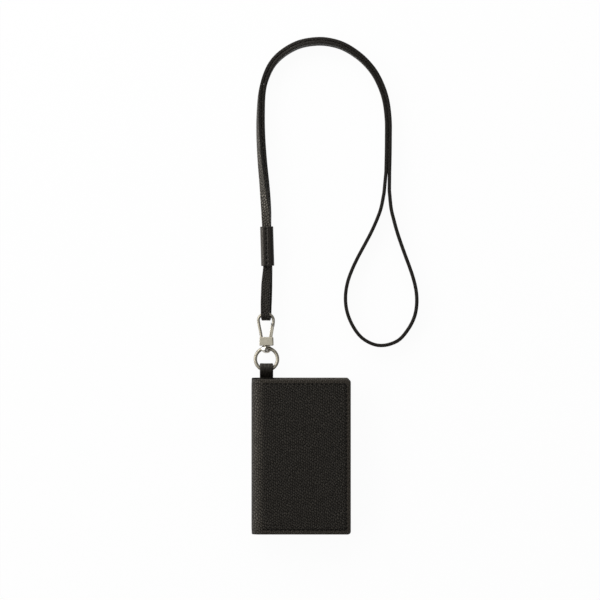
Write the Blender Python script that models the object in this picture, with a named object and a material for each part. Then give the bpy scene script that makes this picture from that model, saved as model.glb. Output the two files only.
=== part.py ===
"""A folding leather card holder on a neck strap.

The object lies on its back: +X to the right, +Y towards the top of the case, +Z up.
The origin is the middle of the back cover's outer face. Every length is in metres.
The case opens like a book on its left edge. A tab, a ring, a swivel eye and a snap
hook join it to one long leather strip, which a sewn sleeve gathers above the hook.
"""

import math

import bmesh
import bpy
import numpy as np
from mathutils import Matrix, Vector

# Case
CASE_WIDTH = 0.0698
CASE_HEIGHT = 0.110
CASE_THICKNESS = 0.012
CORNER_RADIUS = 0.0022
FRONT_TOP_SETBACK = 0.0010
BACK_SIDE_SETBACK = 0.0009
COVER_LEATHER = 0.0012
COVER_EDGE = 0.00035
FIT_GAP = 0.0003
SEAM_MARGIN = 0.0036

# Inside of the case
BACK_BOARD = 0.0010
FRONT_BOARD = 0.0008
LINING_LEATHER = 0.0005
LINING_MARGIN = 0.0006
POCKET_LEATHER = 0.0007
POCKET_MARGIN = 0.0012
POCKET_TOP_DROP = 0.024
POCKET_STEP = 0.016
THIN_EDGE = 0.00012
FRAME_LEATHER = 0.0008
FRAME_BORDER = 0.0062
FILM_THICKNESS = 0.0003
FILM_LAP = 0.0030

# Tab
TAB_WIDTH = 0.0094
TAB_PLY = 0.0013
TAB_BORE = 0.0026
TAB_AXIS_ABOVE_CASE = 0.0063
TAB_ROOT_DEPTH = 0.0100
TAB_PLIES_MEET = 0.0027
TAB_EDGE = 0.00035
NOTCH_CLEARANCE = 0.0005

# Metal fittings
TAB_INSET = 0.01055
METAL_AXIS_Z = 0.00397
RING_RADIUS = 0.0078
RING_WIRE = 0.0012
RING_SAG_IN_TAB = 0.00108
EYE_TURN = math.radians(40.0)
EYE_HALF_WIDTH = 0.0037
EYE_DROP = 0.0026
EYE_THICK = 0.00078
EYE_ROUNDNESS = 0.7
EYE_BROAD = 0.0013
EYE_LOOP_SHARES = (
    (0.50, 0.62, 0.55),
    (0.78, 0.37, 0.65),
    (0.97, 0.12, 0.90),
    (1.00, -0.15, 1.00),
    (0.90, -0.48, 1.10),
    (0.58, -0.83, 1.20),
    (0.00, -1.00, 1.25),
)
EYE_PLATE_RADIUS = 0.0027
EYE_PLATE_GAP = 0.0003
EYE_PLATE = 0.0006
PLATE_PROUD = 0.00025
SHANK_RADIUS = 0.0011
SHANK_CLEARANCE = 0.0002
RIVET_RADIUS = 0.0019
RIVET_HEAD = 0.0007
END_PLAY = 0.00025
HOUSING_TOP_WIDTH = 0.0097
HOUSING_FOOT_WIDTH = 0.0100
HOUSING_HEIGHT = 0.00598
HOUSING_DEPTH = 0.0070
FACE_WALL_SHARE = 0.13
SPRING_ROOM_SHARE = 0.22
HOUSING_FLOOR = 0.0009
HOUSING_ROOF = 0.0006
HOUSING_SIDE_WALL = 0.00075
HOUSING_EDGE = 0.00035
HOUSING_CORNER = 0.0005
BOW_WIRE = 0.0010
BOW_LEG_OFFSET = 0.00357
BOW_SHOULDER_OFFSET = 0.0057
BOW_SHOULDER_RISE = 0.01185
BOW_HEIGHT = 0.01645
BOW_LEG_SHARES = ((0.32, 0.33), (0.72, 0.68))
BOW_NOSE_OFFSET = 0.0049
NOSE_DRAFT = 0.00035
BOW_NOSE_RISE = 0.0085
NOSE_SLOPE = 1.25
NOSE_SLOT_REACH = 0.0016
NOSE_OUTER_WALL = 0.00065
BOW_ROOT_DEPTH = 0.0028
BOW_ROOT_RADIUS = 0.00075
BOW_SLOT_CLEARANCE = 0.0002
GATE_FOOT_OFFSET = 0.00298
GATE_PIN_OFFSET = 0.0027
GATE_TIP_OFFSET = 0.00412
GATE_WIDTH = 0.0023
GATE_TIP_GAP = 0.0005
GATE_TIP_SHARE = 0.4
TONGUE_WIDTH = 0.0006
TONGUE_LENGTH = 0.0012
TONGUE_TIP_SHARE = 0.3
TONGUE_HEEL = 0.00035
GATE_PIN_DROP = 0.0020
GATE_PIN_RADIUS = 0.0006
GATE_PIN_CLEARANCE = 0.00012
GATE_BOSS_RADIUS = 0.00115
GATE_OPEN = math.radians(25.0)
PIN_SEAT = 0.00042
SPRING_RADIUS = 0.00105
SPRING_TURNS = 2.25
SPRING_WIRE_SHARE = 0.13
SPRING_GAP_SHARE = 0.19
WIRES_PER_TURN = 2.2
SPRING_LEG_REACH = 0.0017

# Neck strap and its sleeve
STRAP_WIDTH = 0.0062
STRAP_PLY = 0.0023
STRAP_EDGE = 0.0004
PLY_GAP = 0.0003
FOLD_GAP = 0.0016
LIE_CLEARANCE = 0.0001
SPLICE_GAP = 0.0003
KEEPER_LENGTH = 0.0277
KEEPER_RISE = 0.0475
STATION_STEP = 0.0055
KEEPER_WIDTH = 0.0092
KEEPER_LEATHER = 0.00115
KEEPER_CLEARANCE = 0.0003
KEEPER_LAP_STEP = 0.00045
KEEPER_LAP_INSET = 0.0011
KEEPER_LAP_PAST_MIDDLE = 0.0007
KEEPER_CORNER = 0.0016

CUT_OVERRUN = 0.002

# The middle of the doubled strap, from the hook to where its plies part, as x and y
# from the top of the hook's bow and the turn of the pair in degrees: 0 lies flat and
# 90 stands on edge.
DOUBLED_ROUTE = (
    (-0.00027, -0.00100, 0),
    (-0.00025, 0.00500, 0),
    (0.00000, 0.01300, 0),
    (0.00030, 0.02200, 0),
    (0.00090, 0.03300, 0),
    (0.00064, 0.04250, 0),
    (0.00038, 0.05200, 0),
    (0.00012, 0.06150, 0),
    (-0.00027, 0.07400, 22),
    (-0.00145, 0.09100, 50),
    (-0.00295, 0.10750, 61),
    (-0.00395, 0.12450, 69),
    (-0.00405, 0.14000, 76),
    (-0.00305, 0.15600, 86),
    (-0.00005, 0.16750, 92),
    (0.00485, 0.17670, 97),
    (0.01235, 0.18380, 101),
    (0.02235, 0.18920, 104),
    (0.03295, 0.19140, 105),
    (0.04315, 0.19120, 105),
    (0.05435, 0.18800, 101),
    (0.06565, 0.18080, 96),
    (0.07445, 0.17160, 93),
    (0.08020, 0.16140, 91),
    (0.08395, 0.15000, 90),
    (0.08563, 0.13680, 90),
    (0.08575, 0.12400, 90),
    (0.08560, 0.11100, 90),
    (0.08533, 0.09960, 90),
)
# The single loop beyond, from where the outer ply leaves the pair to where it
# comes back as the inner ply, as x and y from the top of the hook's bow.
SINGLE_ROUTE = (
    (0.08642, 0.08680),
    (0.08766, 0.07430),
    (0.08962, 0.06590),
    (0.09197, 0.05740),
    (0.09476, 0.04900),
    (0.09779, 0.04060),
    (0.10093, 0.03210),
    (0.10363, 0.02370),
    (0.10540, 0.01530),
    (0.10571, 0.00680),
    (0.10428, -0.00160),
    (0.10050, -0.00970),
    (0.09435, -0.01750),
    (0.08815, -0.02100),
    (0.08115, -0.02240),
    (0.07435, -0.02120),
    (0.06706, -0.01690),
    (0.06159, -0.01010),
    (0.05760, -0.00160),
    (0.05575, 0.00680),
    (0.05582, 0.01530),
    (0.05753, 0.02370),
    (0.06070, 0.03210),
    (0.06479, 0.04060),
    (0.06934, 0.04900),
    (0.07374, 0.05740),
    (0.07756, 0.06590),
    (0.08058, 0.07430),
    (0.08270, 0.08490),
)
# How far each ply sits beside the middle of the pair, as y from the bow and offset.
PLY_OFFSETS = (
    (-0.00500, 0.00055),
    (0.00900, 0.00085),
    (0.02000, 0.00080),
    (0.03300, 0.00015),
    (0.06200, 0.00015),
    (0.08000, 0.0),
)

SPINE_RADIUS = CASE_THICKNESS / 2
LEFT = -CASE_WIDTH / 2
RIGHT = CASE_WIDTH / 2
TOP = CASE_HEIGHT / 2
BOTTOM = -CASE_HEIGHT / 2
SPINE_X = LEFT + SPINE_RADIUS
FRONT_TOP = TOP - FRONT_TOP_SETBACK
BACK_RIGHT = RIGHT - BACK_SIDE_SETBACK
METAL_AXIS_X = LEFT + TAB_INSET
TAB_AXIS_Y = TOP + TAB_AXIS_ABOVE_CASE
RING_Y = TAB_AXIS_Y + RING_RADIUS - RING_SAG_IN_TAB
RING_TOP_Y = RING_Y + RING_RADIUS
PLATE_Y = RING_TOP_Y + RING_WIRE + EYE_PLATE_GAP
HOUSING_Y = PLATE_Y + PLATE_PROUD
PLATE_SEAT_Y = PLATE_Y + EYE_PLATE + END_PLAY
FLOOR_TOP_Y = PLATE_SEAT_Y + HOUSING_FLOOR
HOUSING_TOP_Y = HOUSING_Y + HOUSING_HEIGHT
BOW_TOP_Y = HOUSING_TOP_Y + BOW_HEIGHT
NOSE_X = METAL_AXIS_X + BOW_NOSE_OFFSET - NOSE_DRAFT
NOSE_Y = HOUSING_TOP_Y + BOW_NOSE_RISE
KEEPER_MIDDLE_Y = BOW_TOP_Y + KEEPER_RISE
GATE_PIN_Y = HOUSING_TOP_Y - GATE_PIN_DROP
GATE_PIN_X = METAL_AXIS_X + GATE_PIN_OFFSET
GATE_FOOT_X = METAL_AXIS_X + GATE_FOOT_OFFSET
HOUSING_FACE_WALL = HOUSING_DEPTH * FACE_WALL_SHARE
SPRING_ROOM = HOUSING_DEPTH * SPRING_ROOM_SHARE
SPRING_WIRE = SPRING_ROOM * SPRING_WIRE_SHARE
GATE_TOP = HOUSING_DEPTH / 2 - HOUSING_FACE_WALL - SPRING_ROOM
GATE_DEPTH = 2 * GATE_TOP


def clear_scene():
    for old in list(bpy.data.objects):
        bpy.data.objects.remove(old)


def material(name, colour, roughness, metallic=0.0):
    made = bpy.data.materials.new(name)
    made.use_nodes = True
    shader = made.node_tree.nodes["Principled BSDF"]
    shader.inputs["Base Color"].default_value = (*colour, 1.0)
    shader.inputs["Roughness"].default_value = roughness
    shader.inputs["Metallic"].default_value = metallic
    return made


def add_object(name, mesh, finish, smooth_angle=math.radians(35.0)):
    """Puts a mesh in the scene under its node's name, with its material."""
    mesh.materials.append(finish)
    mesh.shade_smooth()
    mesh.set_sharp_from_angle(angle=smooth_angle)
    made = bpy.data.objects.new(name, mesh)
    bpy.context.scene.collection.objects.link(made)
    return made


def mesh_from(name, points, faces):
    mesh = bpy.data.meshes.new(name)
    mesh.from_pydata([tuple(point) for point in points], [], faces)
    shape = bmesh.new()
    shape.from_mesh(mesh)
    bmesh.ops.recalc_face_normals(shape, faces=shape.faces)
    shape.to_mesh(mesh)
    shape.free()
    return mesh


def loft(name, rings, capped=True, closed=False):
    """Skins rings of equal point counts, one after another."""
    count = len(rings[0])
    points = [point for ring in rings for point in ring]
    faces = []
    last = len(rings) if closed else len(rings) - 1
    for i in range(last):
        low = i * count
        high = (i + 1) % len(rings) * count
        for j in range(count):
            k = (j + 1) % count
            faces.append((low + j, low + k, high + k, high + j))
    if capped and not closed:
        faces.append(tuple(reversed(range(count))))
        faces.append(tuple(range((len(rings) - 1) * count, len(rings) * count)))
    return mesh_from(name, points, faces)


def corner_points(centre, radius, start, steps):
    if radius <= 0:
        return [centre]
    angles = [start + math.pi / 2 * i / steps for i in range(steps + 1)]
    return [(centre[0] + radius * math.cos(a), centre[1] + radius * math.sin(a)) for a in angles]


def rounded_outline(box, radii, inset=(0, 0, 0, 0), steps=5):
    """An anticlockwise rectangle; radii and inset start at the left or lower left."""
    left, right, low, high = box
    left += inset[0]
    right -= inset[1]
    low += inset[2]
    high -= inset[3]
    shrink = (
        max(inset[0], inset[2]),
        max(inset[1], inset[2]),
        max(inset[1], inset[3]),
        max(inset[0], inset[3]),
    )
    corners = ((left, low, 1, 1), (right, low, -1, 1), (right, high, -1, -1), (left, high, 1, -1))
    points = []
    for number, (x, y, dx, dy) in enumerate(corners):
        radius = radii[number] - shrink[number] if radii[number] else 0
        centre = (x + dx * radius, y + dy * radius)
        points += corner_points(centre, radius, math.pi + number * math.pi / 2, steps)
    return points


def slab(name, box, radii, low, thickness, edge, finish, edged=(1, 1, 1, 1)):
    """A flat panel with softened edges on the sides that edged names."""
    levels = ((low, edge), (low + edge, 0), (low + thickness - edge, 0), (low + thickness, edge))
    rings = []
    for height, inset in levels:
        outline = rounded_outline(box, radii, [inset * side for side in edged])
        rings.append([(x, y, height) for x, y in outline])
    return add_object(name, loft(name, rings), finish)


def tube_mesh(name, points, radii, sides, closed=False):
    """A round tube through points, whose rings don't twist."""
    path = [Vector(point) for point in points]
    count = len(path)
    rings = []
    side = None
    for i, point in enumerate(path):
        before = path[(i - 1) % count] if closed or i > 0 else path[i]
        after = path[(i + 1) % count] if closed or i < count - 1 else path[i]
        along = (after - before).normalized()
        if side is None:
            side = along.orthogonal()
        side = (side - along * side.dot(along)).normalized()
        other = along.cross(side)
        ring = []
        for j in range(sides):
            angle = 2 * math.pi * j / sides
            ring.append(point + radii[i] * (math.cos(angle) * side + math.sin(angle) * other))
        rings.append(ring)
    return loft(name, rings, closed=closed)


def smooth_path(points, per_span):
    """A Catmull-Rom curve through the points, evenly divided in each span."""
    values = [np.array(point, float) for point in points]
    values = [2 * values[0] - values[1]] + values + [2 * values[-1] - values[-2]]
    out = []
    for i in range(1, len(values) - 2):
        a, b, c, d = values[i - 1 : i + 3]
        for step in range(per_span):
            t = step / per_span
            out.append(
                (2 * b + (c - a) * t + (2 * a - 5 * b + 4 * c - d) * t * t
                 + (3 * b - a - 3 * c + d) * t**3) / 2
            )
    out.append(values[-2])
    return out


def helper(name, mesh):
    """A cutter or an added shape, which no build shows."""
    made = bpy.data.objects.new(name, mesh)
    bpy.context.scene.collection.objects.link(made)
    made.hide_render = True
    made.display_type = "WIRE"
    return made


def combine(target, other, operation):
    step = target.modifiers.new(operation.lower(), "BOOLEAN")
    step.operation = operation
    step.object = other
    other.parent = target


def block_mesh(name, box, edge=0.0, segments=2):
    """A box given as its low and high corners, with rounded edges where edge isn't 0."""
    low, high = Vector(box[0]), Vector(box[1])
    shape = bmesh.new()
    bmesh.ops.create_cube(shape, size=1.0)
    size = high - low
    bmesh.ops.transform(shape, matrix=Matrix.Diagonal((*size, 1.0)), verts=shape.verts)
    bmesh.ops.translate(shape, vec=(low + high) / 2, verts=shape.verts)
    if edge:
        bmesh.ops.bevel(shape, geom=shape.edges, offset=edge, segments=segments, profile=0.5,
                        affect="EDGES")
    mesh = bpy.data.meshes.new(name)
    shape.to_mesh(mesh)
    shape.free()
    return mesh


def turned_mesh(name, profile, sides, centre, axis):
    """A solid of revolution: profile is (along, radius) pairs, and axis a unit vector."""
    along = Vector(axis)
    side = along.orthogonal().normalized()
    other = along.cross(side)
    rings = []
    for distance, radius in profile:
        ring = []
        for j in range(sides):
            angle = 2 * math.pi * j / sides
            spoke = math.cos(angle) * side + math.sin(angle) * other
            ring.append(Vector(centre) + along * distance + spoke * radius)
        rings.append(ring)
    return loft(name, rings)


# Case: two covers, a spine, and the leather and board inside them
def make_back_half(finish):
    corners = (0, CORNER_RADIUS, CORNER_RADIUS, 0)
    outer = (SPINE_X + FIT_GAP / 2, BACK_RIGHT, BOTTOM, TOP)
    free_sides = (0, 1, 1, 1)
    slab("back_cover", outer, corners, 0, COVER_LEATHER, COVER_EDGE, finish["cover"], free_sides)
    make_back_board(finish["board"])
    level = COVER_LEATHER + FIT_GAP + BACK_BOARD + FIT_GAP
    inner = (SPINE_X + LINING_MARGIN, BACK_RIGHT - LINING_MARGIN,
             BOTTOM + LINING_MARGIN, TOP - LINING_MARGIN)
    slab("back_lining", inner, corners, level, LINING_LEATHER, THIN_EDGE, finish["lining"])
    level += LINING_LEATHER + FIT_GAP
    for number, place in enumerate(("upper", "middle", "lower")):
        top = TOP - POCKET_TOP_DROP - number * POCKET_STEP
        panel = (SPINE_X + POCKET_MARGIN, BACK_RIGHT - LINING_MARGIN,
                 BOTTOM + LINING_MARGIN, top)
        radii = (0, CORNER_RADIUS, 0, 0)
        slab("card_pocket_" + place, panel, radii, level, POCKET_LEATHER, THIN_EDGE,
             finish["lining"])
        level += POCKET_LEATHER + FIT_GAP


def make_back_board(finish):
    """The stiffener stops short of the seam, and has a notch for the tab's root."""
    left = SPINE_X + POCKET_MARGIN
    right = BACK_RIGHT - SEAM_MARGIN
    low = BOTTOM + SEAM_MARGIN
    high = TOP - SEAM_MARGIN
    notch_x = METAL_AXIS_X + TAB_WIDTH / 2 + NOTCH_CLEARANCE
    notch_y = TOP - TAB_ROOT_DEPTH - NOTCH_CLEARANCE
    outline = ((left, low), (right, low), (right, high), (notch_x, high),
               (notch_x, notch_y), (left, notch_y))
    bottom = COVER_LEATHER + FIT_GAP
    rings = [[(x, y, z) for x, y in outline] for z in (bottom, bottom + BACK_BOARD)]
    add_object("back_board", loft("back_board", rings), finish)


def make_front_half(finish):
    corners = (0, CORNER_RADIUS, CORNER_RADIUS, 0)
    outer = (SPINE_X + FIT_GAP / 2, RIGHT, BOTTOM, FRONT_TOP)
    level = CASE_THICKNESS - COVER_LEATHER
    slab("front_cover", outer, corners, level, COVER_LEATHER, COVER_EDGE, finish["cover"],
         (0, 1, 1, 1))
    level -= FIT_GAP + FRONT_BOARD
    board = (SPINE_X + POCKET_MARGIN, RIGHT - SEAM_MARGIN, BOTTOM + SEAM_MARGIN,
             FRONT_TOP - SEAM_MARGIN)
    slab("front_board", board, (0, 0, 0, 0), level, FRONT_BOARD, 0, finish["board"])
    level -= FIT_GAP + LINING_LEATHER
    inner = (SPINE_X + LINING_MARGIN, RIGHT - LINING_MARGIN,
             BOTTOM + LINING_MARGIN, FRONT_TOP - LINING_MARGIN)
    slab("front_lining", inner, corners, level, LINING_LEATHER, THIN_EDGE, finish["lining"])
    frame = (SPINE_X + POCKET_MARGIN, RIGHT - LINING_MARGIN,
             BOTTOM + LINING_MARGIN, FRONT_TOP - LINING_MARGIN)
    level -= FIT_GAP + FILM_THICKNESS
    lap = FRAME_BORDER - FILM_LAP
    film = (frame[0] + lap, frame[1] - lap, frame[2] + lap, frame[3] - lap)
    slab("window_film", film, (0, 0, 0, 0), level, FILM_THICKNESS, 0, finish["film"])
    level -= FIT_GAP + FRAME_LEATHER
    make_window_frame(frame, level, finish["lining"])


def make_window_frame(box, low, finish):
    """A leather border with a rounded window."""
    radii = (CORNER_RADIUS, CORNER_RADIUS, CORNER_RADIUS, CORNER_RADIUS)
    border = [FRAME_BORDER] * 4
    window_radii = [FRAME_BORDER + radius for radius in radii]
    outer = rounded_outline(box, radii)
    window = rounded_outline(box, window_radii, border)
    high = low + FRAME_LEATHER
    rings = [[(x, y, z) for x, y in outline]
             for outline, z in ((outer, low), (outer, high), (window, high), (window, low))]
    add_object("window_frame", loft("window_frame", rings, closed=True), finish)


def bent_sheet(name, radii_x, radii_z, thickness, centre_z, low, tops, edge, finish):
    """Leather bent in half round the Y axis, from the lower cover to the upper one."""
    steps = 20
    open_angle = FIT_GAP / 2 / SPINE_RADIUS
    rings = []
    for i in range(steps + 1):
        share = i / steps
        angle = 1.5 * math.pi - open_angle - share * (math.pi - 2 * open_angle)
        top = tops[0] + share * (tops[1] - tops[0])
        ring = []
        for depth, y in ((0, low + edge), (edge, low), (thickness, low),
                         (thickness, top), (edge, top), (0, top - edge)):
            x = SPINE_X + (radii_x - depth) * math.cos(angle)
            z = centre_z + (radii_z - depth) * math.sin(angle)
            ring.append((x, y, z))
        rings.append(ring)
    add_object(name, loft(name, rings), finish)


def make_spine(finish):
    bent_sheet("spine_fold", SPINE_RADIUS, SPINE_RADIUS, COVER_LEATHER, SPINE_RADIUS,
               BOTTOM, (TOP, FRONT_TOP), COVER_EDGE, finish["cover"])
    lower = COVER_LEATHER + 2 * FIT_GAP + BACK_BOARD
    upper = CASE_THICKNESS - COVER_LEATHER - 2 * FIT_GAP - FRONT_BOARD
    reach_x = SPINE_RADIUS - COVER_LEATHER - FIT_GAP
    bent_sheet("spine_lining", reach_x, (upper - lower) / 2, LINING_LEATHER,
               (upper + lower) / 2, BOTTOM + LINING_MARGIN,
               (TOP - LINING_MARGIN, FRONT_TOP - LINING_MARGIN), THIN_EDGE, finish["lining"])


# Tab: one strip bent round the ring, with its root between cover and lining
def make_tab(finish):
    root_low = COVER_LEATHER + FIT_GAP
    root_high = root_low + BACK_BOARD
    mouth_y = TOP + TAB_EDGE
    outer = tangent_loop(TAB_BORE + TAB_PLY, (mouth_y, root_high), (mouth_y, root_low), 20)
    root_y = TOP - TAB_ROOT_DEPTH
    outline = [(root_y, root_low), *reversed(outer), (root_y, root_high)]
    root_middle = (root_low + root_high) / 2
    meet = (TOP + TAB_PLIES_MEET, (root_middle + METAL_AXIS_Z) / 2)
    bore = tangent_loop(TAB_BORE, meet, meet, 20)
    body = strip_prism("tab_loop", outline, TAB_WIDTH, TAB_EDGE)
    tab = add_object("tab_loop", body, finish["cover"])
    cutter = helper("tab_bore", strip_prism("tab_bore", bore, TAB_WIDTH + 2 * CUT_OVERRUN, 0))
    combine(tab, cutter, "DIFFERENCE")


def tangent_loop(radius, start, end, steps):
    """Points of (y, z) from start round the ring's seat to end, joined by tangents."""
    centre = (TAB_AXIS_Y, METAL_AXIS_Z)

    def tangent_angle(point, side):
        dy, dz = point[0] - centre[0], point[1] - centre[1]
        return math.atan2(dz, dy) + side * math.acos(radius / math.hypot(dy, dz))

    first = tangent_angle(start, -1)
    last = tangent_angle(end, 1)
    while last > first:
        last -= 2 * math.pi
    points = [start]
    for i in range(steps + 1):
        angle = first + (last - first) * i / steps
        points.append((centre[0] + radius * math.cos(angle), centre[1] + radius * math.sin(angle)))
    if end != start:
        points.append(end)
    return points


def strip_prism(name, outline, width, edge):
    """A (y, z) outline drawn out along X, with softened rims."""
    shape = bmesh.new()
    low = [shape.verts.new((METAL_AXIS_X - width / 2, y, z)) for y, z in outline]
    face = shape.faces.new(low)
    drawn = bmesh.ops.extrude_face_region(shape, geom=[face])
    moved = [item for item in drawn["geom"] if isinstance(item, bmesh.types.BMVert)]
    bmesh.ops.translate(shape, vec=(width, 0, 0), verts=moved)
    bmesh.ops.recalc_face_normals(shape, faces=shape.faces)
    if edge:
        rims = [e for e in shape.edges if abs(e.verts[0].co.x - e.verts[1].co.x) < edge]
        bmesh.ops.bevel(shape, geom=rims, offset=edge, segments=2, profile=0.5, affect="EDGES")
    mesh = bpy.data.meshes.new(name)
    shape.to_mesh(mesh)
    shape.free()
    return mesh


# Ring and swivel eye
def make_ring(finish):
    around, section = 44, 10
    points = []
    for i in range(around):
        angle = 2 * math.pi * i / around
        x = METAL_AXIS_X + RING_RADIUS * math.sin(angle)
        points.append((x, RING_Y + RING_RADIUS * math.cos(angle), METAL_AXIS_Z))
    mesh = tube_mesh("ring", points, [RING_WIRE] * around, section, closed=True)
    add_object("ring", mesh, finish["metal"])


def squared(value):
    """Fills out an oval section towards its corners."""
    return math.copysign(abs(value) ** EYE_ROUNDNESS, value)


def eye_sections():
    """The loop's sections, from one end in the plate round to the other."""
    half = [(EYE_HALF_WIDTH * out, EYE_DROP * up, EYE_THICK * thick)
            for out, up, thick in EYE_LOOP_SHARES]
    guide = half + [(-out, up, thick) for out, up, thick in reversed(half[:-1])]
    path = smooth_path(guide, 3)
    across = Vector((math.cos(EYE_TURN), 0, math.sin(EYE_TURN)))
    rings = []
    for i, (out, up, thick) in enumerate(path):
        before, after = path[max(i - 1, 0)], path[min(i + 1, len(path) - 1)]
        along = Vector((after[0] - before[0], after[1] - before[1])).normalized()
        ring = []
        for j in range(12):
            angle = 2 * math.pi * j / 12
            side = thick * squared(math.cos(angle))
            reach, rise = out - along.y * side, up + along.x * side
            place = Vector((METAL_AXIS_X - reach * math.sin(EYE_TURN), RING_TOP_Y + rise,
                            METAL_AXIS_Z + reach * math.cos(EYE_TURN)))
            ring.append(place + across * EYE_BROAD * squared(math.sin(angle)))
        rings.append(ring)
    return rings


def make_swivel_eye(finish):
    """A cast loop under a round plate, on a shank with a riveted head."""
    eye = add_object("swivel_eye", loft("swivel_eye", eye_sections()), finish["metal"])
    floor_top = FLOOR_TOP_Y + END_PLAY
    edge = EYE_PLATE / 4
    profile = (
        (PLATE_Y, EYE_PLATE_RADIUS - edge),
        (PLATE_Y + edge, EYE_PLATE_RADIUS),
        (PLATE_Y + EYE_PLATE - edge, EYE_PLATE_RADIUS),
        (PLATE_Y + EYE_PLATE, EYE_PLATE_RADIUS - edge),
        (PLATE_Y + EYE_PLATE, SHANK_RADIUS),
        (floor_top, SHANK_RADIUS),
        (floor_top, RIVET_RADIUS),
        (floor_top + RIVET_HEAD, RIVET_RADIUS - edge),
    )
    stem = turned_mesh("eye_stem", profile, 28, (METAL_AXIS_X, 0, METAL_AXIS_Z), (0, 1, 0))
    combine(eye, helper("eye_stem", stem), "UNION")


# Snap hook
def make_housing(finish):
    """A box open inside: a seat for the plate, a shank hole, two slots, two pin seats."""
    half_depth = HOUSING_DEPTH / 2
    edge = HOUSING_EDGE
    rings = []
    for y, width, inset in (
        (HOUSING_Y, HOUSING_FOOT_WIDTH, edge),
        (HOUSING_Y + edge, HOUSING_FOOT_WIDTH, 0),
        (HOUSING_TOP_Y - edge, HOUSING_TOP_WIDTH, 0),
        (HOUSING_TOP_Y, HOUSING_TOP_WIDTH, edge),
    ):
        half = width / 2
        box = (METAL_AXIS_X - half, METAL_AXIS_X + half,
               METAL_AXIS_Z - half_depth, METAL_AXIS_Z + half_depth)
        radii = [HOUSING_CORNER] * 4
        rings.append([(x, y, z) for x, z in rounded_outline(box, radii, [inset] * 4, 3)])
    housing = add_object("housing", loft("housing", rings), finish["metal"])
    room_x = HOUSING_TOP_WIDTH / 2 - HOUSING_SIDE_WALL
    room_z = half_depth - HOUSING_FACE_WALL
    room = ((METAL_AXIS_X - room_x, FLOOR_TOP_Y, METAL_AXIS_Z - room_z),
            (METAL_AXIS_X + room_x, HOUSING_TOP_Y - HOUSING_ROOF, METAL_AXIS_Z + room_z))
    combine(housing, helper("housing_room", block_mesh("housing_room", room)), "DIFFERENCE")
    for name, left, right, reach in slot_sizes():
        slot = ((METAL_AXIS_X + left, HOUSING_TOP_Y - HOUSING_ROOF - BOW_SLOT_CLEARANCE,
                 METAL_AXIS_Z - reach),
                (METAL_AXIS_X + right, HOUSING_TOP_Y + CUT_OVERRUN, METAL_AXIS_Z + reach))
        combine(housing, helper(name, block_mesh(name, slot)), "DIFFERENCE")
    hole = ((HOUSING_Y - CUT_OVERRUN, EYE_PLATE_RADIUS + FIT_GAP),
            (PLATE_SEAT_Y, EYE_PLATE_RADIUS + FIT_GAP),
            (PLATE_SEAT_Y, SHANK_RADIUS + SHANK_CLEARANCE),
            (FLOOR_TOP_Y + FIT_GAP, SHANK_RADIUS + SHANK_CLEARANCE))
    bore = turned_mesh("shank_hole", hole, 24, (METAL_AXIS_X, 0, METAL_AXIS_Z), (0, 1, 0))
    combine(housing, helper("shank_hole", bore), "DIFFERENCE")
    seat_radius = GATE_PIN_RADIUS + GATE_PIN_CLEARANCE
    seats = ((-room_z - PIN_SEAT, seat_radius), (room_z + PIN_SEAT, seat_radius))
    seat = turned_mesh("pin_seats", seats, 16, (GATE_PIN_X, GATE_PIN_Y, METAL_AXIS_Z), (0, 0, 1))
    combine(housing, helper("pin_seats", seat), "DIFFERENCE")


def slot_sizes():
    """Slots in the roof: name, left and right from the axis, and half depth."""
    bow_left = -BOW_LEG_OFFSET - BOW_WIRE - BOW_SLOT_CLEARANCE
    bow_right = -BOW_LEG_OFFSET + BOW_WIRE + BOW_SLOT_CLEARANCE
    swing = (GATE_PIN_DROP + BOW_SLOT_CLEARANCE) * math.tan(GATE_OPEN)
    gate_left = GATE_FOOT_OFFSET - GATE_WIDTH / 2 - swing - BOW_SLOT_CLEARANCE
    gate_right = GATE_FOOT_OFFSET + GATE_WIDTH / 2 + 2 * BOW_SLOT_CLEARANCE
    bow_reach = BOW_WIRE + BOW_SLOT_CLEARANCE
    gate_reach = GATE_DEPTH / 2 + BOW_SLOT_CLEARANCE
    return (("bow_slot", bow_left, bow_right, bow_reach),
            ("gate_slot", gate_left, gate_right, gate_reach))


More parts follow.
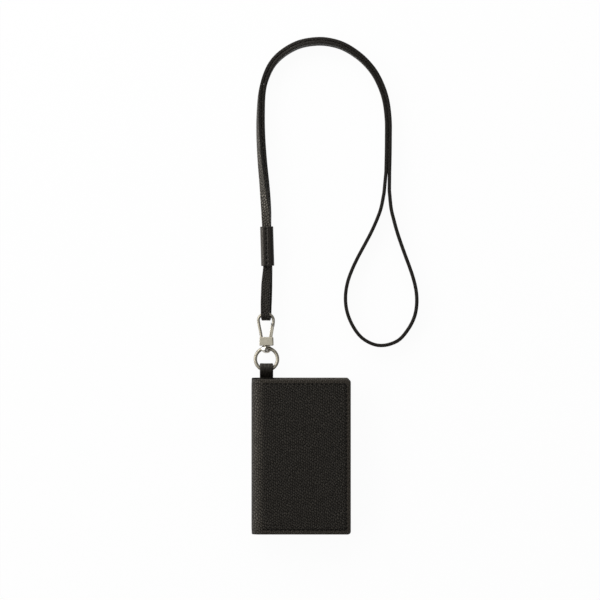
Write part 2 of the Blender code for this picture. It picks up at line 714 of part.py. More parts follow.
def make_hook_bow(finish):
    """Round wire: up the left leg, over the top and down to a slanted, slotted nose."""
    base = HOUSING_TOP_Y
    spread = BOW_SHOULDER_OFFSET - BOW_LEG_OFFSET
    guide = (
        (-BOW_LEG_OFFSET, 0),
        *((-(BOW_LEG_OFFSET + spread * out), BOW_SHOULDER_RISE * up)
          for out, up in BOW_LEG_SHARES),
        (-BOW_SHOULDER_OFFSET, BOW_SHOULDER_RISE),
    )
    points = smooth_path(guide, 4)[:-1]
    centre = (BOW_NOSE_OFFSET - BOW_SHOULDER_OFFSET) / 2
    reach = (BOW_NOSE_OFFSET + BOW_SHOULDER_OFFSET) / 2
    lift = BOW_HEIGHT - BOW_SHOULDER_RISE
    for i in range(19):
        angle = math.pi - math.pi * i / 18
        points.append((centre + reach * math.cos(angle), BOW_SHOULDER_RISE + lift * math.sin(angle)))
    points.append((BOW_NOSE_OFFSET, BOW_NOSE_RISE + 2 * BOW_WIRE))
    points.append((NOSE_X - METAL_AXIS_X, BOW_NOSE_RISE))
    root_x = -(HOUSING_TOP_WIDTH / 2 - HOUSING_SIDE_WALL - FIT_GAP - BOW_ROOT_RADIUS)
    root = ((root_x, -BOW_ROOT_DEPTH), (root_x, -HOUSING_ROOF - BOW_ROOT_RADIUS))
    path = [(METAL_AXIS_X + x, base + y, METAL_AXIS_Z) for x, y in (*root, *points)]
    radii = [BOW_ROOT_RADIUS] * len(root) + [BOW_WIRE] * len(points)
    mesh = tube_mesh("hook_bow", path, radii, 10)
    for corner in mesh.vertices[-10:]:
        corner.co.y = nose_line(corner.co.x)
    bow = add_object("hook_bow", mesh, finish["metal"])
    reach = TONGUE_WIDTH / 2 + FIT_GAP
    slot = ((NOSE_X - 2 * BOW_WIRE, nose_line(NOSE_X + BOW_WIRE), METAL_AXIS_Z - reach),
            (NOSE_X + BOW_WIRE - NOSE_OUTER_WALL, NOSE_Y + NOSE_SLOT_REACH, METAL_AXIS_Z + reach))
    combine(bow, helper("nose_slot", block_mesh("nose_slot", slot)), "DIFFERENCE")


def nose_line(x):
    """Height of the nose's slanted cut."""
    return NOSE_Y - (x - NOSE_X) * NOSE_SLOPE


def make_gate(finish):
    """A flat bar on a boss. Its slanted tip and tongue close against the nose."""
    half = GATE_WIDTH / 2
    tip_x = METAL_AXIS_X + GATE_TIP_OFFSET
    drop = GATE_TIP_GAP * math.hypot(1, NOSE_SLOPE)
    peak_x = tip_x - half * GATE_TIP_SHARE
    outline = (
        (GATE_PIN_X - half, GATE_PIN_Y, GATE_PIN_X),
        (GATE_PIN_X + half, GATE_PIN_Y, GATE_PIN_X),
        (GATE_FOOT_X + half, HOUSING_TOP_Y, GATE_FOOT_X),
        (tip_x + half, nose_line(tip_x + half) - drop, tip_x),
        (peak_x, nose_line(peak_x) - drop, tip_x),
        (tip_x - half, nose_line(tip_x) - drop, tip_x),
        (GATE_FOOT_X - half, HOUSING_TOP_Y, GATE_FOOT_X),
    )
    deep = GATE_DEPTH / 2
    edge = GATE_WIDTH / 6
    rings = []
    for z, inset in ((-deep, edge), (-deep + edge, 0), (deep - edge, 0), (deep, edge)):
        scale = 1 - inset / half
        rings.append([(middle + (x - middle) * scale, y, METAL_AXIS_Z + z)
                      for x, y, middle in outline])
    gate = add_object("gate", loft("gate", rings), finish["metal"])
    tongue_right = NOSE_X + BOW_WIRE - NOSE_OUTER_WALL - FIT_GAP
    heel, point = TONGUE_WIDTH / 2, TONGUE_WIDTH / 2 * TONGUE_TIP_SHARE
    wedge = ((tip_x - TONGUE_HEEL, -heel), (tongue_right, -point),
             (tongue_right, point), (tip_x - TONGUE_HEEL, heel))
    tongue = [[(x, y, METAL_AXIS_Z + z) for x, z in wedge]
              for y in (nose_line(tongue_right) - 2 * drop, NOSE_Y + TONGUE_LENGTH)]
    combine(gate, helper("gate_tongue", loft("gate_tongue", tongue)), "UNION")
    gate_low = -HOUSING_DEPTH / 2 + HOUSING_FACE_WALL + END_PLAY
    boss = turned_mesh("gate_boss", ((gate_low, GATE_BOSS_RADIUS), (GATE_TOP, GATE_BOSS_RADIUS)),
                       20, (GATE_PIN_X, GATE_PIN_Y, METAL_AXIS_Z), (0, 0, 1))
    combine(gate, helper("gate_boss", boss), "UNION")
    bore_radius = GATE_PIN_RADIUS + GATE_PIN_CLEARANCE
    reach = HOUSING_DEPTH
    bore = turned_mesh("gate_bore", ((-reach, bore_radius), (reach, bore_radius)), 16,
                       (GATE_PIN_X, GATE_PIN_Y, METAL_AXIS_Z), (0, 0, 1))
    combine(gate, helper("gate_bore", bore), "DIFFERENCE")


def make_gate_pin(finish):
    reach = HOUSING_DEPTH / 2 - HOUSING_FACE_WALL + PIN_SEAT - GATE_PIN_CLEARANCE
    edge = GATE_PIN_RADIUS / 4
    profile = ((-reach, GATE_PIN_RADIUS - edge), (-reach + edge, GATE_PIN_RADIUS),
               (reach - edge, GATE_PIN_RADIUS), (reach, GATE_PIN_RADIUS - edge))
    mesh = turned_mesh("gate_pin", profile, 16, (GATE_PIN_X, GATE_PIN_Y, METAL_AXIS_Z), (0, 0, 1))
    add_object("gate_pin", mesh, finish["steel"])


def make_gate_spring(finish):
    """Torsion spring on the pin, with one leg on the floor and one on the gate."""
    height = SPRING_TURNS * WIRES_PER_TURN * SPRING_WIRE
    low = GATE_TOP + SPRING_ROOM * SPRING_GAP_SHARE
    per_turn = 16
    count = round(SPRING_TURNS * per_turn)
    points = []
    for i in range(count + 1):
        angle = math.pi + 2 * math.pi * i / per_turn
        points.append((GATE_PIN_X + SPRING_RADIUS * math.cos(angle),
                       GATE_PIN_Y + SPRING_RADIUS * math.sin(angle),
                       METAL_AXIS_Z + low + height * i / count))
    gate_leg = (GATE_PIN_X - SPRING_RADIUS, GATE_PIN_Y + GATE_PIN_RADIUS * 2,
                METAL_AXIS_Z + low - SPRING_WIRE / 4)
    floor_leg = (GATE_PIN_X - SPRING_LEG_REACH, GATE_PIN_Y - SPRING_RADIUS,
                 METAL_AXIS_Z + low + height)
    path = [gate_leg, *points, floor_leg]
    mesh = tube_mesh("gate_spring", path, [SPRING_WIRE] * len(path), 6)
    add_object("gate_spring", mesh, finish["steel"])


# Neck strap: one strip whose two ends meet inside the sleeve
def evenly(samples, step):
    """Resamples points, with whatever values follow x and y, at about one spacing."""
    values = np.array(samples)
    lengths = np.linalg.norm(np.diff(values[:, :2], axis=0), axis=1)
    along = np.concatenate([[0], np.cumsum(lengths)])
    count = max(2, round(along[-1] / step))
    wanted = np.linspace(0, along[-1], count + 1)
    return np.stack([np.interp(wanted, along, column) for column in values.T], axis=1)


def from_hook(route):
    """A route's points, given from the top of the bow, where they lie."""
    return [(METAL_AXIS_X + x, BOW_TOP_Y + y, *rest) for x, y, *rest in route]


def pair_stations(step):
    """Middle, stack direction and width direction along the doubled strap."""
    values = evenly(smooth_path(from_hook(DOUBLED_ROUTE), 12), step)
    stations = []
    for i, (x, y, turn) in enumerate(values):
        before, after = values[max(i - 1, 0)], values[min(i + 1, len(values) - 1)]
        along = Vector((after[0] - before[0], after[1] - before[1], 0)).normalized()
        outward = Vector((-along.y, along.x, 0))
        angle = math.radians(turn)
        stack = Vector((0, 0, 1)) * math.cos(angle) + outward * math.sin(angle)
        flat = abs(math.cos(angle))
        edge_up = abs(math.sin(angle))
        lying = STRAP_PLY + PLY_GAP / 2
        height = lying * flat + STRAP_WIDTH / 2 * edge_up + LIE_CLEARANCE
        if y < KEEPER_MIDDLE_Y + KEEPER_LENGTH and i < len(values) / 2:
            height = max(height, METAL_AXIS_Z)
        stations.append((Vector((x, y, height)), stack, along.cross(stack)))
    return stations


def ply_places(stations, side):
    """One ply of the pair: side is 1 for the outer one and -1 for the inner one."""
    places = []
    heights = [BOW_TOP_Y + y for y, _ in PLY_OFFSETS]
    shifts = [shift for _, shift in PLY_OFFSETS]
    for number, (middle, stack, across) in enumerate(stations):
        first_half = number < len(stations) / 2
        opening = smooth_share((middle.y - BOW_TOP_Y) / (KEEPER_RISE - KEEPER_LENGTH / 2))
        gap = PLY_GAP / 2
        if first_half:
            gap = FOLD_GAP + (PLY_GAP / 2 - FOLD_GAP) * opening
        shift = float(np.interp(middle.y, heights, shifts)) if first_half else 0.0
        reach = side * (gap + STRAP_PLY / 2)
        places.append((middle + stack * reach - across * side * shift, across))
    return places


def smooth_share(value):
    held = min(max(value, 0.0), 1.0)
    return held * held * (3 - 2 * held)


def fold_places():
    """The bend round the hook's bow, from the rear ply to the front one."""
    radius = FOLD_GAP + STRAP_PLY / 2
    x, y, _ = from_hook(DOUBLED_ROUTE)[0]
    shift = PLY_OFFSETS[0][1]
    places = []
    for i in range(1, 12):
        angle = math.pi * i / 12
        place = Vector((x + shift * math.cos(angle), y - radius * math.sin(angle),
                        METAL_AXIS_Z - radius * math.cos(angle)))
        places.append((place, Vector((1, 0, 0))))
    return places


def strap_places():
    """Centre and width direction along the whole strip, from end to end."""
    stations = pair_stations(STATION_STEP)
    outer = ply_places(stations, 1)
    inner = ply_places(stations, -1)
    splice = min(range(len(stations) // 2), key=lambda i: abs(stations[i][0].y - KEEPER_MIDDLE_Y))
    single = evenly(smooth_path(from_hook(SINGLE_ROUTE), 8), STATION_STEP)
    edge_height = STRAP_WIDTH / 2 + LIE_CLEARANCE
    loop = [(Vector((x, y, edge_height)), Vector((0, 0, 1))) for x, y in single]
    places = list(reversed(inner[: splice + 1])) + fold_places() + outer + loop
    places += list(reversed(inner[splice:]))
    first_end, across = places[0]
    back = (places[1][0] - first_end).normalized()
    places[0] = (first_end + back * SPLICE_GAP / 2, across)
    places[-1] = (places[-1][0] - back * SPLICE_GAP / 2, across)
    return places


def strap_section():
    """Half width and half thickness of each corner of the strip's section."""
    half_width, half_ply, edge = STRAP_WIDTH / 2, STRAP_PLY / 2, STRAP_EDGE
    return ((half_width, half_ply - edge), (half_width - edge, half_ply),
            (edge - half_width, half_ply), (-half_width, half_ply - edge),
            (-half_width, edge - half_ply), (edge - half_width, -half_ply),
            (half_width - edge, -half_ply), (half_width, edge - half_ply))


def make_neck_strap(finish):
    places = strap_places()
    rings = []
    for i, (centre, across) in enumerate(places):
        before, after = places[max(i - 1, 0)][0], places[min(i + 1, len(places) - 1)][0]
        along = (after - before).normalized()
        width = (across - along * across.dot(along)).normalized()
        face = width.cross(along)
        rings.append([centre + width * a + face * b for a, b in strap_section()])
    add_object("neck_strap", loft("neck_strap", rings), finish["strap"])
    length = sum((places[i + 1][0] - places[i][0]).length for i in range(len(places) - 1))
    print(f"strap length {length:.4f} m, {len(places)} rings")


def make_strap_keeper(finish):
    """A sleeve round both plies, with a step in front where its strip laps."""
    route = from_hook(DOUBLED_ROUTE)
    heights = [point[1] for point in route]
    offsets = [point[0] for point in route]
    half = KEEPER_LENGTH / 2
    low, middle_x, high = np.interp((KEEPER_MIDDLE_Y - half, KEEPER_MIDDLE_Y, KEEPER_MIDDLE_Y + half),
                                    heights[:9], offsets[:9])
    middle = Vector((middle_x, KEEPER_MIDDLE_Y, METAL_AXIS_Z))
    along = Vector((high - low, KEEPER_LENGTH, 0)).normalized()
    across = Vector((along.y, -along.x, 0))
    half_in_x = KEEPER_WIDTH / 2 - KEEPER_LEATHER
    half_in_z = STRAP_PLY + PLY_GAP / 2 + KEEPER_CLEARANCE
    half_out_z = half_in_z + KEEPER_LEATHER
    inner = rounded_outline((-half_in_x, half_in_x, -half_in_z, half_in_z),
                            [KEEPER_CORNER - KEEPER_LEATHER] * 4, steps=4)
    outer = rounded_outline((-KEEPER_WIDTH / 2, KEEPER_WIDTH / 2, -half_out_z, half_out_z),
                            [KEEPER_CORNER] * 4, steps=4)
    soft = KEEPER_LEATHER / 4
    rings = []
    for outline, distance, inset in (
        (outer, -KEEPER_LENGTH / 2, soft), (outer, -KEEPER_LENGTH / 2 + soft, 0),
        (outer, KEEPER_LENGTH / 2 - soft, 0), (outer, KEEPER_LENGTH / 2, soft),
        (inner, KEEPER_LENGTH / 2, 0), (inner, -KEEPER_LENGTH / 2, 0),
    ):
        ring = []
        for a, c in outline:
            a -= math.copysign(min(inset, abs(a)), a)
            c -= math.copysign(min(inset, abs(c)), c)
            ring.append(middle + along * distance + across * a + Vector((0, 0, c)))
        rings.append(ring)
    keeper = add_object("strap_keeper", loft("strap_keeper", rings, closed=True), finish["strap"])
    lap = make_lap(middle, along, across, half_out_z)
    combine(keeper, lap, "UNION")


def make_lap(middle, along, across, half_out_z):
    """The outer end of the sleeve's strip, which laps over its front."""
    left = -KEEPER_WIDTH / 2 + KEEPER_LAP_INSET
    right = KEEPER_LAP_PAST_MIDDLE
    low = half_out_z - KEEPER_LEATHER / 2
    high = half_out_z + KEEPER_LAP_STEP
    outline = ((left, low), (right, low), (right, high), (left + KEEPER_CORNER, high),
               (left, half_out_z))
    half = KEEPER_LENGTH / 2 - KEEPER_LEATHER / 4
    rings = []
    for distance in (-half, half):
        rings.append([middle + along * distance + across * a + Vector((0, 0, c))
                      for a, c in outline])
    return helper("keeper_lap", loft("keeper_lap", rings))


# Joints: an empty on each axis carries what turns there
def carry(name, place, carrier, pieces):
    """Hangs pieces on an empty at place, and the empty on the one that carries it."""
    empty = bpy.data.objects.new(name, None)
    bpy.context.scene.collection.objects.link(empty)
    empty.location = place
    if carrier:
        empty.parent = carrier
        empty.location = Vector(place) - carrier.matrix_world.translation
    bpy.context.view_layer.update()
    for piece in pieces:
        turned = bpy.data.objects[piece]
        turned.parent = empty
        turned.location = -Vector(place)
    return empty


def hang_moving_pieces():
    hinge_x = LEFT + SPINE_RADIUS - SPINE_RADIUS / math.sqrt(2)
    depth = SPINE_RADIUS - SPINE_RADIUS / math.sqrt(2)
    spine = carry("spine_open", (hinge_x, 0, depth), None, ("spine_fold", "spine_lining"))
    carry("cover_open", (hinge_x, 0, CASE_THICKNESS - depth), spine,
          ("front_cover", "front_board", "front_lining", "window_film", "window_frame"))
    ring = carry("ring_swing", (METAL_AXIS_X, TAB_AXIS_Y, METAL_AXIS_Z), None, ("ring",))
    eye = carry("eye_swing", (METAL_AXIS_X, RING_TOP_Y, METAL_AXIS_Z), ring, ("swivel_eye",))
    hook = carry("hook_swivel", (METAL_AXIS_X, HOUSING_Y, METAL_AXIS_Z), eye,
                 ("housing", "hook_bow", "gate_pin", "gate_spring"))
    carry("gate_open", (GATE_PIN_X, GATE_PIN_Y, METAL_AXIS_Z), hook, ("gate",))
    carry("lanyard_swing", (METAL_AXIS_X, BOW_TOP_Y - BOW_WIRE / 2, METAL_AXIS_Z), hook,
          ("neck_strap", "strap_keeper"))


def main():
    clear_scene()
    finish = {
        "cover": material("cover_leather", (0.020, 0.019, 0.017), 0.62),
        "lining": material("lining_leather", (0.022, 0.020, 0.018), 0.70),
        "board": material("board", (0.30, 0.27, 0.22), 0.90),
        "film": material("clear_film", (0.80, 0.82, 0.84), 0.10),
        "strap": material("strap_leather", (0.018, 0.017, 0.015), 0.58),
        "metal": material("satin_nickel", (0.50, 0.47, 0.41), 0.30, 1.0),
        "steel": material("spring_steel", (0.40, 0.40, 0.40), 0.35, 1.0),
    }
    make_back_half(finish)
    make_front_half(finish)
    make_spine(finish)
    make_tab(finish)
    make_ring(finish)
    make_swivel_eye(finish)
    make_housing(finish)
    make_hook_bow(finish)
    make_gate(finish)
    make_gate_pin(finish)
    make_gate_spring(finish)
    make_neck_strap(finish)
    make_strap_keeper(finish)
    hang_moving_pieces()


main()
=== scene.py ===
# %% [markdown]
# # A card holder on a neck strap
# The real object is a folding leather case for a pass card. A short tab, a wire ring,
# a swivel eye and a snap hook join it to one long leather strip, which a sewn sleeve
# gathers above the hook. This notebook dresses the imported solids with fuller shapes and
# with leather, thread and metal made from shader nodes. Every length is in metres.

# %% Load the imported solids
import math

import bmesh
import bpy
import numpy as np
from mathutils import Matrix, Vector


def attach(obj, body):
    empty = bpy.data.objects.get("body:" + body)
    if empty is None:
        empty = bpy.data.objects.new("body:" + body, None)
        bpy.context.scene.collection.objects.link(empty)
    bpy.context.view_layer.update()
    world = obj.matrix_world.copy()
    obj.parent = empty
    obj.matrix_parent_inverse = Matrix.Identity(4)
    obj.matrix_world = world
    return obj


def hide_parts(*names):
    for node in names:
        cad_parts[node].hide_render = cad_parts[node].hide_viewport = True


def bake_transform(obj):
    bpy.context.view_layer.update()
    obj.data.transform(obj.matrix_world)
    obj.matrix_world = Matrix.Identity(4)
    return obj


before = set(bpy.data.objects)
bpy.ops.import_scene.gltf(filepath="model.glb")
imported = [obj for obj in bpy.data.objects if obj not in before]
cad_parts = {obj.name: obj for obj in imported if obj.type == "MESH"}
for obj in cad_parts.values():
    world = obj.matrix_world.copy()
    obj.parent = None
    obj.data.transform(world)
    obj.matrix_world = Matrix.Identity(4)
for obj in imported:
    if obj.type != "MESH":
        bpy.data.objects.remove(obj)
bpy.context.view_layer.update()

# %% [markdown]
# ## Camera
# The photograph looks straight down from a good way off, so hardly anything shows
# perspective. A long lens three metres up does the same. The case's known width gives
# the size of one pixel, and the pixel of the case's middle gives the aim.

# %% Camera
PHOTO_SIDE = 600
PIXEL = 0.000703
ORIGIN_PIXEL = (301.10, 455.95)
AIM_HEIGHT = 0.006
CAMERA_RISE = 3.0
SENSOR = 36.0


def photo_place(u, v):
    """Where a pixel of the photograph lies, as x and y."""
    return (u - ORIGIN_PIXEL[0]) * PIXEL, (ORIGIN_PIXEL[1] - v) * PIXEL


lens = bpy.data.cameras.new("photo_camera")
lens.sensor_width = SENSOR
lens.lens = SENSOR * CAMERA_RISE / (PHOTO_SIDE * PIXEL)
lens.clip_end = 10.0
camera = bpy.data.objects.new("photo_camera", lens)
bpy.context.scene.collection.objects.link(camera)
camera.location = (*photo_place(PHOTO_SIDE / 2, PHOTO_SIDE / 2), AIM_HEIGHT + CAMERA_RISE)
bpy.context.scene.camera = camera
print("lens", round(lens.lens, 1), "mm")

# %% [markdown]
# ## Floor and light
# The photograph's light is soft and comes from the left and a little from above, and its
# background is pure white. Small lamps would draw hard shadows, so these are broad
# rectangles: a strong one low at the left, a weaker one past the top edge, and two that
# fill from the right and from overhead. The sky adds a little light from all sides.

# %% Floor and lamps
# name, place, width and height, and power
LAMPS = (
    ("left_window", (-2.20, 0.70, 0.76), (4.60, 1.60), 100.0),
    ("top_window", (-0.30, 1.40, 0.50), (1.40, 0.90), 17.0),
    ("right_fill", (1.20, -0.30, 0.90), (1.00, 1.00), 1.0),
    ("ceiling_softbox", (-0.10, 0.05, 2.60), (1.20, 1.20), 5.0),
)
SKY_STRENGTH = 0.17
FLOOR_LEVEL, FLOOR_REACH = -0.0001, 6


def make_floor():
    """A square that lies just under the object."""
    mesh = bpy.data.meshes.new("floor")
    corners = [(x * FLOOR_REACH, y * FLOOR_REACH, FLOOR_LEVEL)
               for x, y in ((-1, -1), (1, -1), (1, 1), (-1, 1))]
    mesh.from_pydata(corners, [], [(0, 1, 2, 3)])
    floor = bpy.data.objects.new("floor", mesh)
    bpy.context.scene.collection.objects.link(floor)
    return floor


def make_lamp(name, place, sides, watts):
    """A rectangular lamp that faces the scene's origin."""
    lamp = bpy.data.lights.new(name, "AREA")
    lamp.shape = "RECTANGLE"
    lamp.size, lamp.size_y = sides
    lamp.energy = watts
    made = bpy.data.objects.new(name, lamp)
    bpy.context.scene.collection.objects.link(made)
    made.location = place
    made.rotation_euler = (-Vector(place)).to_track_quat("-Z", "Y").to_euler()


floor = make_floor()
for lamp_facts in LAMPS:
    make_lamp(*lamp_facts)
world = bpy.data.worlds.new("studio")
world.use_nodes = True
world.node_tree.nodes["Background"].inputs["Color"].default_value = (1.0, 1.0, 1.0, 1.0)
world.node_tree.nodes["Background"].inputs["Strength"].default_value = SKY_STRENGTH
bpy.context.scene.world = world
bpy.context.scene.view_settings.view_transform = "Standard"
print("lamps:", ", ".join(name for name, *_ in LAMPS))

# %% [markdown]
# ## Shader maths as expressions
# A material's nodes are easier to follow as a formula. This small class wraps one
# socket: adding, subtracting or multiplying two of them makes the Math node, and `node`
# makes any other kind, with its settings first and then its sockets' values and links.


# %% The socket class
class Wire:
    """One output socket of a material's nodes."""

    def __init__(self, tree, socket=None):
        self.tree = tree
        self.socket = socket

    def node(self, kind, settings=None, sockets=None, output=0):
        """A new node of a kind, as the Wire of one of its outputs."""
        made = self.tree.nodes.new(kind)
        for name, value in (settings or {}).items():
            setattr(made, name, value)
        for name, value in (sockets or {}).items():
            if isinstance(value, Wire):
                self.tree.links.new(value.socket, made.inputs[name])
            else:
                made.inputs[name].default_value = value
        return Wire(self.tree, made.outputs[output])

    def math(self, operation, *others):
        sockets = dict(enumerate((self, *others)))
        return self.node("ShaderNodeMath", {"operation": operation}, sockets)

    def __add__(self, other):
        return self.math("ADD", other)

    def __sub__(self, other):
        return self.math("SUBTRACT", other)

    def __rsub__(self, other):
        return self.node("ShaderNodeMath", {"operation": "SUBTRACT"}, {0: other, 1: self})

    def __mul__(self, other):
        return self.math("MULTIPLY", other)

    __radd__ = __add__
    __rmul__ = __mul__

    def step(self, low, high):
        """0 below low and 1 above high, with a smooth rise between."""
        ends = {"Value": self, "From Min": low, "From Max": high}
        return self.node("ShaderNodeMapRange", {"interpolation_type": "SMOOTHSTEP"}, ends)

    def between(self, low, high):
        """A colour or vector mixed by this share."""
        kind = {"data_type": "RGBA", "clamp_factor": True}
        return self.node("ShaderNodeMix", kind, {0: self, 6: low, 7: high}, output=2)


def colour(*values):
    return (*values, 1.0)


print("a Wire adds, subtracts and multiplies, and has math, node, step and between")

# %% [markdown]
# ### Finishes
# A finish is a material with one Principled shader. Its tree is opened with a Wire, so
# that each recipe below is only the formula of what changes over the surface.


# %% Opening a finish
def open_finish(name, constants):
    """A new material with its constants set, its shader and a Wire in its tree."""
    made = bpy.data.materials.new(name)
    made.use_nodes = True
    shader = made.node_tree.nodes["Principled BSDF"]
    for socket, value in constants.items():
        shader.inputs[socket].default_value = value
    return made, shader, Wire(made.node_tree)


def feed(shader, **wires):
    """Links wires to the shader: base, rough, metal, alpha or normal."""
    names = {"base": "Base Color", "rough": "Roughness", "metal": "Metallic",
             "alpha": "Alpha", "normal": "Normal"}
    for key, wire in wires.items():
        wire.tree.links.new(wire.socket, shader.inputs[names[key]])


print("helpers: open_finish, feed")

# %% [markdown]
# ### White floor
# The photograph's background is pure white right up to the object, but a lit white floor
# is never even. So the floor is plain white for the lamps, and keeps the object's
# shadow, and the camera and shiny metal see it mixed with an even white glow.

# %% Floor finish
FLOOR_GLOW = 0.955


def floor_finish():
    """White for the lamps, and mostly an even glow for the camera and for shiny metal."""
    made, shader, start = open_finish("white_floor", {"Base Color": colour(0.92, 0.92, 0.92),
                                                      "Roughness": 0.9})
    rays = made.node_tree.nodes.new("ShaderNodeLightPath").outputs
    camera_ray, glossy, through = (Wire(start.tree, rays[name]) for name in
                                   ("Is Camera Ray", "Is Glossy Ray", "Is Transmission Ray"))
    seen = camera_ray.math("MAXIMUM", glossy.math("MAXIMUM", through))
    glow = start.node("ShaderNodeEmission", None, {"Color": colour(1, 1, 1), "Strength": 1.0})
    lit = Wire(start.tree, shader.outputs[0])
    mixed = start.node("ShaderNodeMixShader", None, {0: seen * FLOOR_GLOW, 1: lit, 2: glow})
    start.tree.links.new(mixed.socket, made.node_tree.nodes["Material Output"].inputs[0])
    return made


floor.data.materials.append(floor_finish())
print("floor:", floor.data.materials[0].name)

# %% [markdown]
# ### Places and noise
# A pattern needs a place to be read at. Metal and thread use the object's own metres.
# Leather is cut flat and bent afterwards, so each of its meshes carries two numbers at
# every point, which say where that point lay on the flat leather.


# %% Places, marks and noise
def object_place(start):
    """The point in the object's own metres, which rides along with a moving piece."""
    return start.node("ShaderNodeTexCoord", output=3)


def laid_place(start):
    """The point on the leather before it was bent: across it, along it and 0."""
    return start.node("ShaderNodeCombineXYZ", None,
                      {0: mark(start, "across"), 1: mark(start, "along")})


def noise(start, place, size, detail=2.0, output=0):
    """Noise whose blotches are about size across."""
    return start.node("ShaderNodeTexNoise", None,
                      {"Vector": place, "Scale": 1 / size, "Detail": detail}, output)


def mark(start, name):
    """A number that a piece's mesh carries at its points."""
    return start.node("ShaderNodeAttribute", {"attribute_name": name}, None, 2)


def relief(start, height, depth, strength=1.0):
    """A bump whose full height is depth metres."""
    return start.node("ShaderNodeBump", None,
                      {"Strength": strength, "Distance": depth, "Height": height})


print("helpers: object_place, laid_place, noise, mark, relief")

# %% [markdown]
# ## Leather
# Pebbled leather is a net of fine creases round raised pebbles, which lie in slightly
# slanted columns. A flat Voronoi texture's distance to the cell edges draws that net on
# the leather as it was before it was bent, and slow noise bends its columns. The crowns
# of the pebbles are paler, partly worn and partly a painted sheen, and the creases are
# dark and dull, partly the grain's own tone and partly painted shade, so the same net
# feeds colour, roughness and relief. Three marks on the mesh change it: the rim has its
# own colour and less grain, the bend is stretched, with deeper grain, and painted paler as
# light, and what is sewn is dark, as thread on the spine and as painted shade in the sleeve's
# stitch holes.


# %% Leather recipe
def leather(name, dark, light, pebble, rim_colour, roughness, depth, plain=0.8, drawn=1.0,
            shine=0.30, flat=0.34, pull=0.0):
    """Grain from dark creases to light crowns; pebble is one cell's size in metres.

    depth is the relief's full height, and plain is how much of it the rim loses. drawn
    is 1 for round pebbles and less for ones drawn out along the piece. shine is the
    specular level, flat the paleness of the crowns away from a bend, and pull how much
    deeper the grain gets where the leather is stretched, and how much duller its creases are.
    """
    made, shader, start = open_finish(name, {"IOR": 1.45, "Specular IOR Level": shine,
                                             "Specular Tint": colour(1.0, 0.93, 0.84)})
    place = laid_place(start)
    slow = noise(start, place, 0.011, 2.0, output=1)
    bent = start.node("ShaderNodeMix", {"data_type": "VECTOR"}, {0: 0.0032, 4: place, 5: slow},
                      output=1)
    right, up = (start.node("ShaderNodeSeparateXYZ", None, {0: bent}, axis) for axis in (0, 1))
    columns = start.node("ShaderNodeCombineXYZ", None,
                         {0: right, 1: right * 0.5 + up * (0.72 * drawn)})
    creases = start.node("ShaderNodeTexVoronoi",
                         {"feature": "DISTANCE_TO_EDGE", "voronoi_dimensions": "2D"},
                         {"Vector": columns, "Scale": 1 / pebble, "Randomness": 0.55})
    pebbles = creases.step(0.02, 0.26)
    crowns = creases.step(0.10, 0.42)
    specks = noise(start, place, pebble * 2.2, 2.0).step(0.30, 0.70)
    clouds = noise(start, place, pebble * 22, 3.0)
    worn, bend, sewn = (mark(start, kind) for kind in ("rim", "bend", "sewn"))
    # painted light: the crowns are paler partly as wear and partly as painted sheen, the bend
    # mark paints light into the colour, and the dark creases are partly painted shade
    share = crowns * (flat * (1 + 0.82 * specks) + (0.72 - flat) * bend) + 0.10 * bend
    face = share.between(colour(*dark), colour(*light))
    toned = (clouds.step(0.35, 0.7) * 0.12).between(face, colour(*dark))
    edged = worn.between(toned, colour(*rim_colour))
    # the sewn mark is the thread's colour on the spine, and painted shade in the sleeve's
    # stitch holes
    feed(shader, base=sewn.between(edged, colour(0.0015, 0.0012, 0.0010)))
    creased = (0.20 + pull * 0.15) * (1 - pebbles)
    feed(shader, rough=roughness + creased + 0.08 * (clouds - 0.5) - 0.08 * bend)
    fine = noise(start, place, pebble * 0.18, 2.0)
    height = (pebbles + 0.3 * specks) * (1 - plain * worn + pull * bend) + 0.20 * fine
    feed(shader, normal=relief(start, height, depth))
    return made


print("recipe: leather")

# %% [markdown]
# ### The leathers of the case and the strap
# All are one dark leather, but each part takes the light in its own way. The back cover
# shows only as an edge above the front one, and its paler rim colour is painted light.
# The tab's grain is pressed nearly flat, the strap's is stretched where it twists, the
# sleeve shines more, and the linings are smooth and fine.

# %% Leathers
cover_leather, back_cover_lit_rim_leather = (
    leather(name, (0.0018, 0.0014, 0.0010), (0.0955, 0.0845, 0.0685), 0.00150, rim_colour,
            0.48, 0.00034, plain=0.55, flat=0.20)
    # painted light: the back cover's rim colour is much paler, for its top edge catching the
    # light
    for name, rim_colour in (("cover_leather", (0.0340, 0.0285, 0.0220)),
                             ("back_cover_lit_rim_leather", (0.0850, 0.0770, 0.0650))))
tab_leather = leather("tab_leather", (0.0085, 0.0070, 0.0054), (0.050, 0.043, 0.034),
                      0.00120, (0.0060, 0.0048, 0.0036), 0.48, 0.00008, drawn=0.25)
strap_leather = leather("strap_leather", (0.0025, 0.0020, 0.0015), (0.150, 0.135, 0.111),
                        0.00145, (0.0030, 0.0022, 0.0016), 0.44, 0.00028, shine=0.38,
                        flat=0.145, pull=1.2)
sleeve_leather = leather("sleeve_leather", (0.0100, 0.0086, 0.0070), (0.0745, 0.0657, 0.0538),
                         0.00115, (0.0055, 0.0042, 0.0032), 0.44, 0.00014, shine=0.46)
lining_leather = leather("lining_leather", (0.0100, 0.0088, 0.0075), (0.0358, 0.0325, 0.0277),
                         0.00055, (0.0110, 0.0090, 0.0075), 0.60, 0.00004)
print("leathers:", ", ".join(made.name for made in (
    cover_leather, back_cover_lit_rim_leather, tab_leather, strap_leather, sleeve_leather,
    lining_leather)))

# %% [markdown]
# ## Meshes from rings
# Nearly every piece here is a skin over a row of closed outlines: a strap's section
# along its route, a tube's circles, or the outlines of a panel from its under side to
# its top. Such meshes stay even and light, and every bevel is where its maker puts it.


